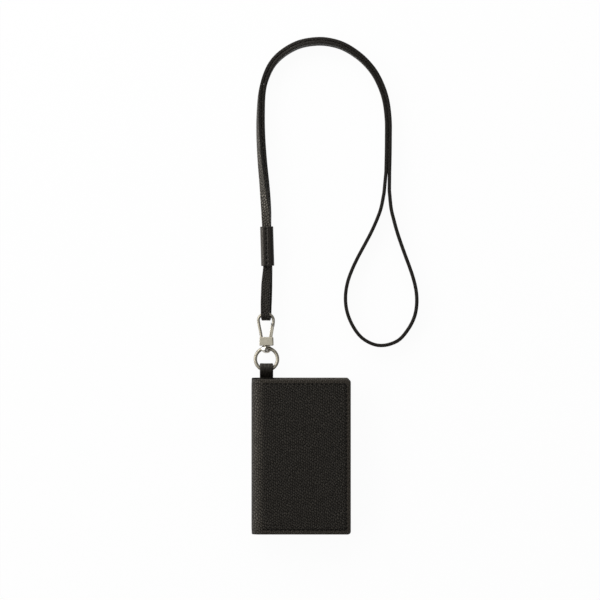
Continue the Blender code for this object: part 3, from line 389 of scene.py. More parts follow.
# %% Skins
def skin(rings, closed=False):
    """Points and faces over rings with equal counts, with end faces unless closed."""
    count = len(rings[0])
    points = [tuple(point) for ring in rings for point in ring]
    faces = []
    for i in range(len(rings) if closed else len(rings) - 1):
        low = i * count
        high = (i + 1) % len(rings) * count
        for j in range(count):
            k = (j + 1) % count
            faces.append((low + j, low + k, high + k, high + j))
    if not closed:
        faces.append(tuple(reversed(range(count))))
        faces.append(tuple(range(len(points) - count, len(points))))
    return points, faces


def joined(parts):
    """Several (points, faces) as one."""
    points, faces = [], []
    for more_points, more_faces in parts:
        base = len(points)
        points += more_points
        faces += [tuple(base + i for i in face) for face in more_faces]
    return points, faces


square = [(0, 0), (1, 0), (1, 1), (0, 1)]
cube_points, cube_faces = skin([[(x, y, z) for x, y in square] for z in (0, 1)])
print("a skin over two squares:", len(cube_points), "points,", len(cube_faces), "faces")

# %% [markdown]
# ### From skin to piece
# A finished mesh becomes a piece in one place: it gets its marks, its material and its
# smooth shading, rides on its body, and stands for the solids that it replaces. A piece
# may also have no body.


# %% Pieces
def add_piece(name, skin_parts, finish, body=None, nodes=(), sharp=40.0, marks=None):
    """A piece of the model; edges sharper than sharp degrees stay hard."""
    points, faces = skin_parts
    mesh = bpy.data.meshes.new(name)
    mesh.from_pydata([tuple(point) for point in points], [], faces)
    laid = {"across": [point[0] for point in points], "along": [point[1] for point in points]}
    for mark_name, values in {**laid, **(marks or {})}.items():
        layer = mesh.attributes.new(mark_name, "FLOAT", "POINT")
        layer.data.foreach_set("value", np.asarray(values, np.float32))
    shape = bmesh.new()
    shape.from_mesh(mesh)
    bmesh.ops.recalc_face_normals(shape, faces=shape.faces)
    shape.to_mesh(mesh)
    shape.free()
    mesh.materials.append(finish)
    mesh.shade_smooth()
    mesh.set_sharp_from_angle(angle=math.radians(sharp))
    made = bpy.data.objects.new(name, mesh)
    bpy.context.scene.collection.objects.link(made)
    if body:
        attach(made, body)
    if nodes:
        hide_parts(*nodes)
    return made


# %% [markdown]
# ### Lines and arcs
# The skins follow lines of points. These helpers round a corner, go once round a
# circle, find a point's neighbours, measure along a line and ease from 0 to 1.


# %% Lines and arcs
def turns(count):
    """Angles once round a circle."""
    return [2 * math.pi * j / count for j in range(count)]


def arc(cx, cy, radius, start, turn, steps):
    """Points of an arc, with both its ends."""
    angles = (start + turn * i / steps for i in range(steps + 1))
    return [(cx + radius * math.cos(angle), cy + radius * math.sin(angle)) for angle in angles]


def round_ring(centre, side, other, radius, count):
    """A circle of points in the plane of side and other."""
    return [centre + radius * (math.cos(angle) * side + math.sin(angle) * other)
            for angle in turns(count)]


def neighbours(path, i):
    """The points before and after one of a path, or itself at an end."""
    return path[max(i - 1, 0)], path[min(i + 1, len(path) - 1)]


def run_lengths(points):
    """How far along its line each point lies."""
    out = [0.0]
    for a, b in zip(points, points[1:]):
        out.append(out[-1] + math.dist(a, b))
    return out


def smooth_share(value):
    """0 up to 0 and 1 from 1 on, with a smooth rise between."""
    held = min(max(value, 0.0), 1.0)
    return held * held * (3 - 2 * held)


def smooth_path(points, per_span):
    """A Catmull-Rom curve through the points."""
    values = [np.array(point, float) for point in points]
    values = [2 * values[0] - values[1]] + values + [2 * values[-1] - values[-2]]
    out = []
    for i in range(1, len(values) - 2):
        a, b, c, d = values[i - 1 : i + 3]
        for step in range(per_span):
            t = step / per_span
            out.append((2 * b + (c - a) * t + (2 * a - 5 * b + 4 * c - d) * t * t
                        + (3 * b - a - 3 * c + d) * t**3) / 2)
    out.append(values[-2])
    return out


def evenly(samples, step):
    """Points about a step apart along a line, measured by their first two numbers."""
    values = np.array(samples)
    lengths = np.linalg.norm(np.diff(values[:, :2], axis=0), axis=1)
    along = np.concatenate([[0], np.cumsum(lengths)])
    wanted = np.linspace(0, along[-1], max(2, round(along[-1] / step)) + 1)
    return np.stack([np.interp(wanted, along, column) for column in values.T], axis=1)


quarter = arc(0, 0, 1, 0, math.pi / 2, 24)
print("a quarter circle measures", round(run_lengths(quarter)[-1], 3))

# %% [markdown]
# ## Neck strap
# The real strap is one long flat strip. It runs from inside the sleeve down round the
# hook, up to the neck, round a loose loop at the right and back to the sleeve, so most
# of it is two plies side by side. A curve object with a bevel would be quicker, but it
# can't fold flat or turn on edge where it should. So the route is a row of given
# points with the turn of the pair, and each ply is then laid on its own side of it.

# %% Route of the strap
HOOK_X, HOOK_Z = -0.02435, 0.00397
BOW_TOP_Y = 0.1000
# right of the hook's middle, above the bow's top, and degrees that the pair is turned
DOUBLED_ROUTE = (
    (-0.00027, -0.00100, 0), (-0.00025, 0.00500, 0), (0.00000, 0.01300, 0),
    (0.00030, 0.02200, 0), (0.00090, 0.03300, 0), (0.00064, 0.04250, 0),
    (0.00038, 0.05200, 0), (0.00012, 0.06150, 0), (-0.00027, 0.07400, 22),
    (-0.00145, 0.09100, 50), (-0.00295, 0.10750, 61), (-0.00395, 0.12450, 69),
    (-0.00405, 0.14000, 76), (-0.00305, 0.15600, 86), (-0.00005, 0.16750, 92),
    (0.00485, 0.17670, 97), (0.01235, 0.18380, 101), (0.02235, 0.18920, 104),
    (0.03295, 0.19140, 105), (0.04315, 0.19120, 105), (0.05435, 0.18800, 101),
    (0.06565, 0.18080, 96), (0.07445, 0.17160, 93), (0.08020, 0.16140, 91),
    (0.08395, 0.15000, 90), (0.08563, 0.13680, 90), (0.08575, 0.12400, 90),
    (0.08560, 0.11100, 90), (0.08533, 0.09960, 90),
)
# the loose loop at the right, where the strip lies single and on edge
SINGLE_ROUTE = (
    (0.08642, 0.08680), (0.08766, 0.07430), (0.08962, 0.06590), (0.09197, 0.05740),
    (0.09476, 0.04900), (0.09779, 0.04060), (0.10093, 0.03210), (0.10363, 0.02370),
    (0.10540, 0.01530), (0.10571, 0.00680), (0.10428, -0.00160), (0.10050, -0.00970),
    (0.09435, -0.01750), (0.08815, -0.02100), (0.08115, -0.02240), (0.07435, -0.02120),
    (0.06706, -0.01690), (0.06159, -0.01010), (0.05760, -0.00160), (0.05575, 0.00680),
    (0.05582, 0.01530), (0.05753, 0.02370), (0.06070, 0.03210), (0.06479, 0.04060),
    (0.06934, 0.04900), (0.07374, 0.05740), (0.07756, 0.06590), (0.08058, 0.07430),
    (0.08270, 0.08490),
)


def from_hook(route):
    """Points given from the top of the bow, as points of the scene."""
    return [(HOOK_X + x, BOW_TOP_Y + y, *rest) for x, y, *rest in route]


print("route points:", len(DOUBLED_ROUTE), "doubled and", len(SINGLE_ROUTE), "single")

# %% [markdown]
# ### Two plies side by side
# A lying pair rests flat on the table, and a pair on edge stands as high as the strap is
# wide, so its height follows from its turn. Below the sleeve the plies open towards the
# hook, and there they also lie a little askew.

# %% Plies of the strap
STRAP_WIDTH = 0.0062
STRAP_PLY = 0.00243
STATION_STEP = 0.0024
SPAN_STEPS = 24
PLY_GAP = 0.00004
FOLD_GAP = 0.00147
LIE_CLEARANCE = 0.0001
KEEPER_RISE, KEEPER_LENGTH = 0.0475, 0.0277
# height above the bow's top, and how far each ply is shifted there along its width
PLY_OFFSETS = ((-0.00500, 0.00055), (0.00900, 0.00085), (0.02000, 0.00080),
               (0.03300, 0.00015), (0.06200, 0.00015), (0.08000, 0.0))


def pair_stations():
    """Middle, stack direction and width direction along the doubled strap."""
    values = evenly(smooth_path(from_hook(DOUBLED_ROUTE), SPAN_STEPS), STATION_STEP)
    stations = []
    for i, (x, y, turn) in enumerate(values):
        before, after = neighbours(values, i)
        along = Vector((after[0] - before[0], after[1] - before[1], 0)).normalized()
        outward = Vector((-along.y, along.x, 0))
        angle = math.radians(turn)
        stack = Vector((0, 0, 1)) * math.cos(angle) + outward * math.sin(angle)
        lying = (STRAP_PLY + PLY_GAP / 2) * abs(math.cos(angle))
        height = lying + STRAP_WIDTH / 2 * abs(math.sin(angle)) + LIE_CLEARANCE
        if y < BOW_TOP_Y + KEEPER_RISE + KEEPER_LENGTH and i < len(values) / 2:
            height = max(height, HOOK_Z)
        stations.append((Vector((x, y, height)), stack, along.cross(stack)))
    return stations


def ply_places(stations, side):
    """One ply of the pair: side is 1 for the outer one and -1 for the inner one."""
    places = []
    heights = [BOW_TOP_Y + y for y, _ in PLY_OFFSETS]
    shifts = [shift for _, shift in PLY_OFFSETS]
    for number, (middle, stack, across) in enumerate(stations):
        first_half = number < len(stations) / 2
        gap, shift = PLY_GAP / 2, 0.0
        if first_half:
            opening = smooth_share((middle.y - BOW_TOP_Y) / (KEEPER_RISE - KEEPER_LENGTH / 2))
            gap = FOLD_GAP + (gap - FOLD_GAP) * opening
            shift = float(np.interp(middle.y, heights, shifts))
        places.append((middle + stack * side * (gap + STRAP_PLY / 2) - across * side * shift,
                       across))
    return places


print("stations of the pair:", len(pair_stations()))

# %% [markdown]
# ### Fold and whole strip
# The strip starts inside the sleeve, runs down the inner ply to the fold round the bow,
# up the outer ply, round the loose loop and down the inner ply to where it started.

# %% Whole route
FOLD_STEPS = 16


def fold_places():
    """The bend round the hook's bow, from the rear ply to the front one."""
    radius = FOLD_GAP + STRAP_PLY / 2
    x, y, _ = from_hook(DOUBLED_ROUTE)[0]
    shift = PLY_OFFSETS[0][1]
    places = []
    for i in range(1, FOLD_STEPS):
        angle = math.pi * i / FOLD_STEPS
        place = (x + shift * math.cos(angle), y - radius * math.sin(angle),
                 HOOK_Z - radius * math.cos(angle))
        places.append((Vector(place), Vector((1, 0, 0))))
    return places


def strap_places():
    """Centre and width direction along the whole strip, from end to end."""
    stations = pair_stations()
    outer, inner = ply_places(stations, 1), ply_places(stations, -1)
    middle_y = BOW_TOP_Y + KEEPER_RISE
    splice = min(range(len(stations) // 2), key=lambda i: abs(stations[i][0].y - middle_y))
    height = STRAP_WIDTH / 2 + LIE_CLEARANCE
    single = evenly(smooth_path(from_hook(SINGLE_ROUTE), SPAN_STEPS), STATION_STEP)
    loop = [(Vector((x, y, height)), Vector((0, 0, 1))) for x, y in single]
    places = list(reversed(inner[: splice + 1])) + fold_places() + outer + loop
    return places + list(reversed(inner[splice:]))[:-1]


route = strap_places()

# %% [markdown]
# ### The strip itself
# A leather strip's section is a flat bar with soft corners and faces that sink very
# little. Each point also carries marks for the shader: how much it belongs to the
# painted rim, and its place across and along the strip.

# %% Strip
RIM_STEPS = 6
RIM_RADIUS = 0.00080
FACE_SAG = 0.00007


def strip_section(width, thickness):
    """Section of a strip as (across, through, rim share)."""
    corners = ((1, 1), (-1, 1), (-1, -1), (1, -1))
    section = []
    for number, (right, up) in enumerate(corners):
        for i in range(RIM_STEPS + 1):
            angle = math.pi / 2 * (number + i / RIM_STEPS)
            across = right * (width / 2 - RIM_RADIUS) + RIM_RADIUS * math.cos(angle)
            through = up * (thickness / 2 - RIM_RADIUS) + RIM_RADIUS * math.sin(angle)
            rim = smooth_share((abs(math.cos(angle)) - 0.70) / 0.25)
            section.append((across, through, rim))
        if right * up > 0:
            for share in (0.5, 0, -0.5):
                across = right * share * width / 2
                section.append((across, up * thickness / 2 - up * FACE_SAG, 0))
    return section


def sweep_strip(places, width, thickness):
    """Rings of a strip along places, with its marks."""
    section = strip_section(width, thickness)
    round_it = run_lengths([(a, t) for a, t, _ in section])
    rings, marks = [], {"rim": [], "across": [], "along": []}
    run = 0.0
    for i, (centre, across) in enumerate(places):
        (before, _), (after, _) = neighbours(places, i)
        along = (after - before).normalized()
        wide = (across - along * across.dot(along)).normalized()
        face = wide.cross(along)
        run += (centre - before).length
        rings.append([centre + wide * a + face * t for a, t, _ in section])
        marks["rim"] += [rim for _, _, rim in section]
        marks["across"] += round_it
        marks["along"] += [run] * len(section)
    return rings, marks


print("points round the strap:", len(strip_section(STRAP_WIDTH, STRAP_PLY)))

# %% [markdown]
# ### Strap piece
# Above the sleeve the pair twists up on edge. That draws the leather, so its grain opens
# there, and its face, turned to the light from the left, is painted paler as light, up to the
# left side of the neck loop.

# %% Strap
TWIST_LOW, TWIST_RISE = 0.052, 0.012
TWIST_HIGH, TWIST_FALL = 0.170, 0.06
TWIST_REACH = 0.02


def twist_stretch_and_light(centre):
    """How far the strap's leather is drawn, and painted paler as light, where the pair twists
    up on edge.
    """
    if centre.x > HOOK_X + TWIST_REACH:
        return 0.0
    rise = centre.y - BOW_TOP_Y
    return (smooth_share((rise - TWIST_LOW) / TWIST_RISE)
            * smooth_share((TWIST_HIGH - rise) / TWIST_FALL))


rings, strap_marks = sweep_strip(route, STRAP_WIDTH, STRAP_PLY)
strap_marks["bend"] = [twist_stretch_and_light(centre) for centre, _ in route for _ in rings[0]]
neck_strap = add_piece("leather_strap", skin(rings), strap_leather,
                       "lanyard", ["neck_strap"], marks=strap_marks)
print("strap faces:", len(neck_strap.data.polygons))

# %% [markdown]
# ### The sleeve
# A strip of leather is wrapped round both plies and sewn to itself in front, a little
# left of the middle. Its outer end laps over and makes a low ridge, and each stitch hole
# pulls the leather down. A displaced box would need far more faces, so the outline of
# the sleeve is swept along in short steps, and the lap and the holes are pressed into it.

# %% Sleeve outline
KEEPER_WIDTH = 0.0092
KEEPER_LEATHER = 0.00115
KEEPER_CORNER = 0.0026
KEEPER_HALF_HEIGHT = 0.0039
SLEEVE_STEPS = 22


def sleeve_outline(taken_in):
    """The sleeve's rounded outline as (across, up), with points along its faces too."""
    corner = KEEPER_CORNER - taken_in
    half_width, half_height = KEEPER_WIDTH / 2 - taken_in, KEEPER_HALF_HEIGHT - taken_in
    points = []
    for number, (dx, dy) in enumerate(((1, 1), (-1, 1), (-1, -1), (1, -1))):
        cx, cy = dx * (half_width - corner), dy * (half_height - corner)
        points += arc(cx, cy, corner, math.pi / 2 * number, math.pi / 2, 6)
        if number in (0, 2):
            for i in range(1, SLEEVE_STEPS):
                points.append((cx - 2 * cx * i / SLEEVE_STEPS, dy * half_height))
    return points


print("points round the sleeve:", len(sleeve_outline(0)))

# %% Lap, groove and holes
LAP_HEIGHT = 0.00030
LAP_START, LAP_EDGE = -0.0037, 0.0008
RIDGE_HEIGHT, RIDGE_WIDTH = 0.00030, 0.00045
KEEPER_SEAM = -0.0004
GROOVE_DEPTH, GROOVE_WIDTH = 0.00022, 0.0006
KEEPER_STITCH = 0.0034
KEEPER_HOLES = 8
HOLE_DEPTH, HOLE_RADIUS = 0.00055, 0.00056


def hole_share(across, run, squeeze=1.0):
    """1 in a stitch hole, falling to 0 round it, and slower along the seam if squeezed."""
    near = round(run / KEEPER_STITCH + (KEEPER_HOLES - 1) / 2)
    hole = (min(max(near, 0), KEEPER_HOLES - 1) - (KEEPER_HOLES - 1) / 2) * KEEPER_STITCH
    away = math.hypot(across - KEEPER_SEAM, (run - hole) * squeeze)
    return math.exp(-((away / HOLE_RADIUS) ** 2))


def sleeve_rise(across, run):
    """How far the front of the sleeve stands above its plain face."""
    lap = (smooth_share((across - LAP_START) / 0.0006)
           * smooth_share((LAP_EDGE - across) / 0.00035))
    ridge = math.exp(-((across - LAP_EDGE) / RIDGE_WIDTH) ** 2)
    groove = math.exp(-(((across - KEEPER_SEAM) / GROOVE_WIDTH) ** 2))
    return (lap * LAP_HEIGHT + RIDGE_HEIGHT * ridge - HOLE_DEPTH * hole_share(across, run)
            - GROOVE_DEPTH * groove)


print("stitch holes:", KEEPER_HOLES)

# %% [markdown]
# ### Sleeve piece
# The photograph shows the sleeve's left edge and a strip right of the seam paler, with
# dark leather between them and at the right. The rim mark paints that dark in as shade,
# and the bend mark paints the left edge paler as light.

# %% Sleeve
SLEEVE_RINGS = 68
END_ROUND, END_TUCK = 0.0003, 0.00028
# across the sleeve: the left band of painted shade, the start of the right one and the end of
# the painted-light edge
BAND_START, BAND_END, BAND_RIGHT = -0.0026, -0.0010, 0.0013
LIT_EDGE = -0.0020


def sleeve_frame():
    """Middle, long direction and cross direction of the sleeve."""
    line = from_hook(DOUBLED_ROUTE)[:9]
    middle_y, half = BOW_TOP_Y + KEEPER_RISE, KEEPER_LENGTH / 2
    low, middle_x, high = np.interp((middle_y - half, middle_y, middle_y + half),
                                    [y for _, y, _ in line], [x for x, _, _ in line])
    along = Vector((high - low, KEEPER_LENGTH, 0)).normalized()
    return Vector((middle_x, middle_y, HOOK_Z)), along, Vector((along.y, -along.x, 0))


def sleeve_marks_at(a, c, run, tucked):
    """Rim, sewn and bend marks of a point of the outer face."""
    # painted light: the left edge, facing the light, is made paler through the bend mark
    painted_light = smooth_share((LIT_EDGE - a) / 0.0012)
    if c <= 0:
        return float(tucked), 0.0, painted_light
    # painted shade: dark left of the seam and over the right side, away from the light
    shade_bands = smooth_share((a - BAND_START) / 0.0005) * smooth_share((BAND_END - a) / 0.0004)
    shade_bands += 1.2 * smooth_share((a - BAND_RIGHT) / 0.0010)
    # the sewn mark darkens the stitch holes as painted shade
    return 1.0 if tucked else 0.8 * shade_bands, min(2 * hole_share(a, run, 0.5), 1.0), painted_light


def make_sleeve():
    """The sleeve's outer face from end to end and its inner face back again."""
    middle, along, across = sleeve_frame()
    outer, inner = sleeve_outline(0), sleeve_outline(KEEPER_LEATHER)
    half = KEEPER_LENGTH / 2
    rings, marks = [], {"rim": [], "sewn": [], "bend": [], "along": []}
    for run in (-half, *np.linspace(-half + END_ROUND, half - END_ROUND, SLEEVE_RINGS), half):
        tuck = END_TUCK if abs(run) == half else 0.0
        ring = []
        for a, c in outer:
            for kind, value in zip(marks, sleeve_marks_at(a, c, run, tuck > 0)):
                marks[kind].append(value)
            if c > KEEPER_HALF_HEIGHT - KEEPER_CORNER:
                share = smooth_share((c - KEEPER_HALF_HEIGHT + KEEPER_CORNER) / KEEPER_CORNER)
                c += share * sleeve_rise(a, run)
            a -= math.copysign(tuck, a)
            c -= math.copysign(tuck, c)
            ring.append(middle + along * run + across * a + Vector((0, 0, c)))
        rings.append(ring)
        marks["along"] += [run] * len(outer)
    for run in (half, -half):
        rings.append([middle + along * run + across * a + Vector((0, 0, c)) for a, c in inner])
        for kind, value in zip(marks, (1.0, 0.0, 0.0, run)):
            marks[kind] += [value] * len(inner)
    marks["across"] = run_lengths(outer) * len(rings)
    return skin(rings, closed=True), marks


sleeve_skin, sleeve_marks = make_sleeve()
sleeve = add_piece("leather_sleeve", sleeve_skin, sleeve_leather,
                   "lanyard", ["strap_keeper"], marks=sleeve_marks)
print("sleeve faces:", len(sleeve.data.polygons))

# %% [markdown]
# ### Thread
# Waxed thread comes up out of one hole and goes down the next. Each stitch is a short
# bent tube whose ends dip under the leather, because a stitch that is only painted or
# bumped looks flat at the rim. A row of them is one mesh, so a whole seam is one piece.

# %% Stitch rows
THREAD_RADIUS = 0.00036
THREAD_SIDES = 8
STITCH_RINGS = 8


def stitch(start, end, up, radius):
    """One stitch between two holes on a surface that faces up."""
    along = end - start
    side = along.normalized().cross(up)
    rings = []
    for i in range(STITCH_RINGS):
        t = i / (STITCH_RINGS - 1)
        arch = math.sin(math.pi * t)
        centre = start + along * t + up * radius * (1.5 * math.sqrt(arch) - 1.0)
        rings.append(round_ring(centre, side, up, radius * (0.60 + 0.40 * arch), THREAD_SIDES))
    return skin(rings)


def stitch_row(line, up, pitch, radius=THREAD_RADIUS, slant=0.0, dip=0.12):
    """Stitches along a line, each turned by slant and a share, dip, short of its holes."""
    lengths = run_lengths(line)
    count = max(1, round(lengths[-1] / pitch))
    holes = []
    for wanted in np.linspace(0, lengths[-1], count + 1):
        holes.append(Vector([np.interp(wanted, lengths, axis) for axis in zip(*line)]))
    parts = []
    for a, b in zip(holes, holes[1:]):
        along = b - a
        lean = along.cross(up) * slant
        parts.append(stitch(a + along * dip - lean, b - along * dip + lean, up, radius))
    return joined(parts)


one_stitch = stitch(Vector((0, 0, 0)), Vector((KEEPER_STITCH, 0, 0)), Vector((0, 0, 1)),
                    THREAD_RADIUS)
print("faces of a stitch:", len(one_stitch[1]))

# %% [markdown]
# ### Thread finish and the sleeve's seam
# The thread is twisted and waxed, dull and as dark as the leather's creases. Fine noise
# stands in for its twist, which is too small to see. The sleeve's thread is rubbed paler.


# %% Thread and sleeve seam
def thread_finish(name, dark, light):
    """Dull twisted thread between two colours."""
    made, shader, start = open_finish(name, {"Specular IOR Level": 0.15})
    place = object_place(start)
    twist = noise(start, place, 0.00025, 2.0)
    feed(shader, base=twist.step(0.3, 0.7).between(colour(*dark), colour(*light)))
    feed(shader, rough=0.65 + 0.2 * twist, normal=relief(start, twist, 0.00006))
    return made


thread = thread_finish("waxed_thread", (0.0016, 0.0012, 0.0009), (0.0050, 0.0040, 0.0032))
sleeve_waxed_thread = thread_finish("sleeve_waxed_thread", (0.0110, 0.0095, 0.0078),
                                    (0.0260, 0.0225, 0.0185))
SLEEVE_THREAD_RADIUS, SLEEVE_DIP = 0.00028, 0.26
middle, along, across = sleeve_frame()
front = Vector((0, 0, 1))
half_seam = (KEEPER_HOLES - 1) / 2 * KEEPER_STITCH
ends = [middle + along * run + across * KEEPER_SEAM + front * KEEPER_HALF_HEIGHT
        for run in (-half_seam, half_seam)]
sleeve_stitches = stitch_row(ends, front, KEEPER_STITCH, SLEEVE_THREAD_RADIUS,
                             dip=SLEEVE_DIP)
sleeve_thread = add_piece("sleeve_stitching", sleeve_stitches, sleeve_waxed_thread,
                          "lanyard")
print("sleeve stitches:", KEEPER_HOLES - 1)

# %% [markdown]
# ### The strap as one piece
# The real strap bends everywhere, but here it swings as one piece, with the sleeve and
# its thread along on it.

# %% [markdown]
# ## The case
# Each half of the case is leather over a thin board, with its edge turned and sewn, and
# the leather runs on round the spine. A beveled box would show the joint at the spine
# and tear there as the case opens. So one skin makes a cover and its half of the spine:
# outlines that are open on the spine's side are laid on the leather, from the middle of
# its face out to the rim and back in underneath.

# %% Outlines on the leather
CASE_LEFT, CASE_RIGHT = -0.0349, 0.0349
CASE_TOP, CASE_BOTTOM = 0.055, -0.055
CASE_DEEP = 0.012
SPINE_RADIUS = CASE_DEEP / 2
SPINE_X = CASE_LEFT + SPINE_RADIUS
SPINE_RUN = SPINE_RADIUS * math.pi / 2
CORNER = 0.0022
CORNER_STEPS = 8
ARC_STEPS = 14
# columns of points past the spine, so that marks can fade there
FLAT_RUNS = (0.0007, 0.0015, 0.0025, 0.0040, 0.0060)
FOOT_STEPS = ARC_STEPS + len(FLAT_RUNS)


def corner_radius(inset):
    """Round at the rim, nearly sharp at the seam, and wide where the plain face starts."""
    return max(CORNER - inset, 0.0003, inset - 0.0060)


def open_outline(high, width, inset):
    """From the spine's middle along the foot, up the free edge and back along the top.

    A point is its run along the leather from the middle of the spine, and its height.
    """
    low, high = CASE_BOTTOM + inset, high - inset
    radius = corner_radius(inset)
    turn_x = width - inset - radius
    foot = [SPINE_RUN * i / ARC_STEPS for i in range(ARC_STEPS + 1)]
    foot += [SPINE_RUN + more for more in FLAT_RUNS]
    points = [(run, low) for run in foot]
    points += arc(turn_x, low + radius, radius, -math.pi / 2, math.pi / 2, CORNER_STEPS)
    points += arc(turn_x, high - radius, radius, 0.0, math.pi / 2, CORNER_STEPS)
    return points + [(run, high) for run in reversed(foot)]


print("points on an outline:", len(open_outline(CASE_TOP, CASE_RIGHT - CASE_LEFT, 0)))

# %% [markdown]
# ### Round the spine
# Each outline is bent round the spine by one formula, which turns a run along the
# leather into an angle. The leather is stretched where it leaves the spine, and the
# photograph shows it paler there, where the curve faces the light from the left, so the
# same place sets the bend mark, which paints that light into the colour.


# %% Bend round the spine
def spine_stretch_and_light(past):
    """How stretched the leather is, and how much light is painted into its colour, by how far
    past the spine's end it lies.
    """
    # about half on the fold itself, and nearly all where it turns in to the flat face
    turning = 0.42 + 0.56 * smooth_share((past + 0.0042) / 0.0022)
    return turning * (0.70 * smooth_share((0.0024 - past) / 0.0020)
                      + 0.30 * smooth_share((0.0060 - past) / 0.0060))


def lay_on_case(run, y, depth, side, bend):
    """A point of the leather, bent round the spine; side is 1 in front and -1 behind."""
    reach_x, reach_z, centre_z = bend
    share = min(run / SPINE_RUN, 1.0)
    angle = math.pi - side * share * math.pi / 2
    x = SPINE_X + (reach_x - depth) * math.cos(angle) + max(run - SPINE_RUN, 0.0)
    return x, y, centre_z + (reach_z - depth) * math.sin(angle)


back_of_fold = lay_on_case(0.0, 0.0, 0.0, 1, (SPINE_RADIUS,) * 3)
print("middle of the spine:", [round(value, 4) for value in back_of_fold])

# %% [markdown]
# ### Skin of a cover
# The levels of a cover go in steps from its plain face over the seam's groove to the
# rounded rim. On the spine the skin stays at an even depth, and there is no rim.

# %% Cover skin
COVER_THICK = 0.0012
SEAM_INSET = 0.0032
# where two stitches of the seam lie on the spine, as runs from its middle
SPINE_DASHES = ((0.0026, 0.0048), (0.0060, 0.0082))
# inset from the free edges, depth under the face, and depth of the seam's groove
FACE_LEVELS = ((0.0100, 0.0, 0), (0.0050, 0.0, 0), (0.0040, 0.00002, 0),
               (0.0037, 0.00004, 0.00004), (0.0034, 0.00006, 0.00016),
               (SEAM_INSET, 0.00007, 0.00022), (0.0030, 0.00008, 0.00016),
               (0.0027, 0.00010, 0.00004), (0.0024, 0.00012, 0), (0.0011, 0.00014, 0),
               (0.0007, 0.00018, 0), (0.0004, 0.00028, 0), (0.00018, 0.00045, 0),
               (0.00005, 0.00068, 0), (0, 0.00095, 0))
# past the spine's end: how soon the skin is flat, and where the seam's groove starts
FLAT_FADE, GROOVE_START, GROOVE_FADE = 0.0012, 0.001, 0.002
# a small step in from the edge, and the depth from which the leather is turned under
PROBE, TURN_DEPTH = 0.001, 0.001


def cover_skin(high, width, levels, side, bend, spine_depth, rim_share=1.0):
    """The closed skin of a cover or lining and its half of the spine, with its marks."""
    edge, inner = open_outline(high, width, 0), open_outline(high, width, PROBE)
    outward = [((a - c) / PROBE, (b - d) / PROBE) for (a, b), (c, d) in zip(edge, inner)]
    outlines, marks = [], {"rim": [], "bend": [], "sewn": [], "across": [], "along": []}
    for inset, depth, groove in levels:
        outline = []
        turned_in = 2 * inset if depth > TURN_DEPTH else 0.0
        for (run, y), (out_run, out_y) in zip(open_outline(high, width, inset), outward):
            marks["across"].append(run + out_run * (depth + turned_in))
            marks["along"].append(y + out_y * (depth + turned_in))
            flat = smooth_share((run - SPINE_RUN) / FLAT_FADE)
            limit = spine_depth + (1 - spine_depth) * flat
            grooved = smooth_share((run - SPINE_RUN - GROOVE_START) / GROOVE_FADE)
            here = min(depth, limit) + groove * grooved
            outline.append(lay_on_case(run, y, here, side, bend))
            marks["rim"].append(smooth_share((SEAM_INSET - inset) / 0.0002) * flat * rim_share)
            marks["bend"].append(spine_stretch_and_light(run - SPINE_RUN))
            on_seam = abs(inset - SEAM_INSET) < 0.0003
            dashed = any(a < run < b for a, b in SPINE_DASHES)
            marks["sewn"].append(float(on_seam and dashed))
        outlines.append(outline)
    count = len(outlines[0])
    points = [point for outline in outlines for point in outline]
    faces = []
    for level in range(len(outlines) - 1):
        low, above = level * count, (level + 1) * count
        faces += [(low + j, low + j + 1, above + j + 1, above + j) for j in range(count - 1)]
    for base in (0, (len(outlines) - 1) * count):
        faces += [(base + j, base + j + 1, base + count - 2 - j, base + count - 1 - j)
                  for j in range(FOOT_STEPS)]
        faces.append(tuple(base + j for j in range(FOOT_STEPS, count - FOOT_STEPS)))
    starts = [level * count for level in range(len(outlines))]
    faces.append(tuple(starts + [low + count - 1 for low in reversed(starts)]))
    return (points, faces), marks


def rim_levels(rim_depth):
    """The face's levels, then down the rim and back in over the board."""
    low = rim_depth
    return FACE_LEVELS + ((0, low - 0.0007, 0), (0.00005, low - 0.0004, 0),
                          (0.0002, low - 0.00015, 0), (0.0005, low, 0), (0.0032, low, 0),
                          (0.0033, COVER_THICK, 0))


print("levels of a cover:", len(rim_levels(2 * COVER_THICK)))

# %% [markdown]
# ### The two covers
# The front cover stops a millimetre short of the back one at the top, and stands a
# little past it at the free edge, as the photograph shows.

# %% Covers
FRONT_TOP = CASE_TOP - 0.0010
BACK_RIGHT = CASE_RIGHT - 0.0009
FRONT_RIM, BACK_RIM = 0.00255, 0.00275
OUTER_BEND = (SPINE_RADIUS, SPINE_RADIUS, SPINE_RADIUS)


def leather_half(name, nodes, finish, high, right, rim_depth, side, rim_share):
    """A cover and its half of the spine, in one skin."""
    width = SPINE_RUN + right - SPINE_X
    shape, marks = cover_skin(high, width, rim_levels(rim_depth), side, OUTER_BEND, COVER_THICK,
                              rim_share)
    made = add_piece(name, shape, finish, None, nodes, 50.0, marks)
    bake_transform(made)
    return made


front_leather = leather_half("front_leather", ("front_cover", "spine_fold"),
                             cover_leather, FRONT_TOP, CASE_RIGHT, FRONT_RIM, 1, 0.6)
back_leather = leather_half("back_leather", ("back_cover", "spine_fold"),
                            back_cover_lit_rim_leather, CASE_TOP, BACK_RIGHT, BACK_RIM, -1, 1.0)
print("cover faces:", len(front_leather.data.polygons), len(back_leather.data.polygons))

# %% [markdown]
# ### Seams of the case
# One seam runs round the three free sides of each cover, in its groove. Its line is the
# cover's own outline, taken in by the seam's inset. The case lies on its back face, which
# has pressed that side's stitches in to the level of the leather.

# %% Case seams
SEAM_PITCH, SEAM_SLANT = 0.0032, 0.04
SEAM_START = 0.0015
SEAM_SINKS = {1: 0.00025, -1: 0.00056}


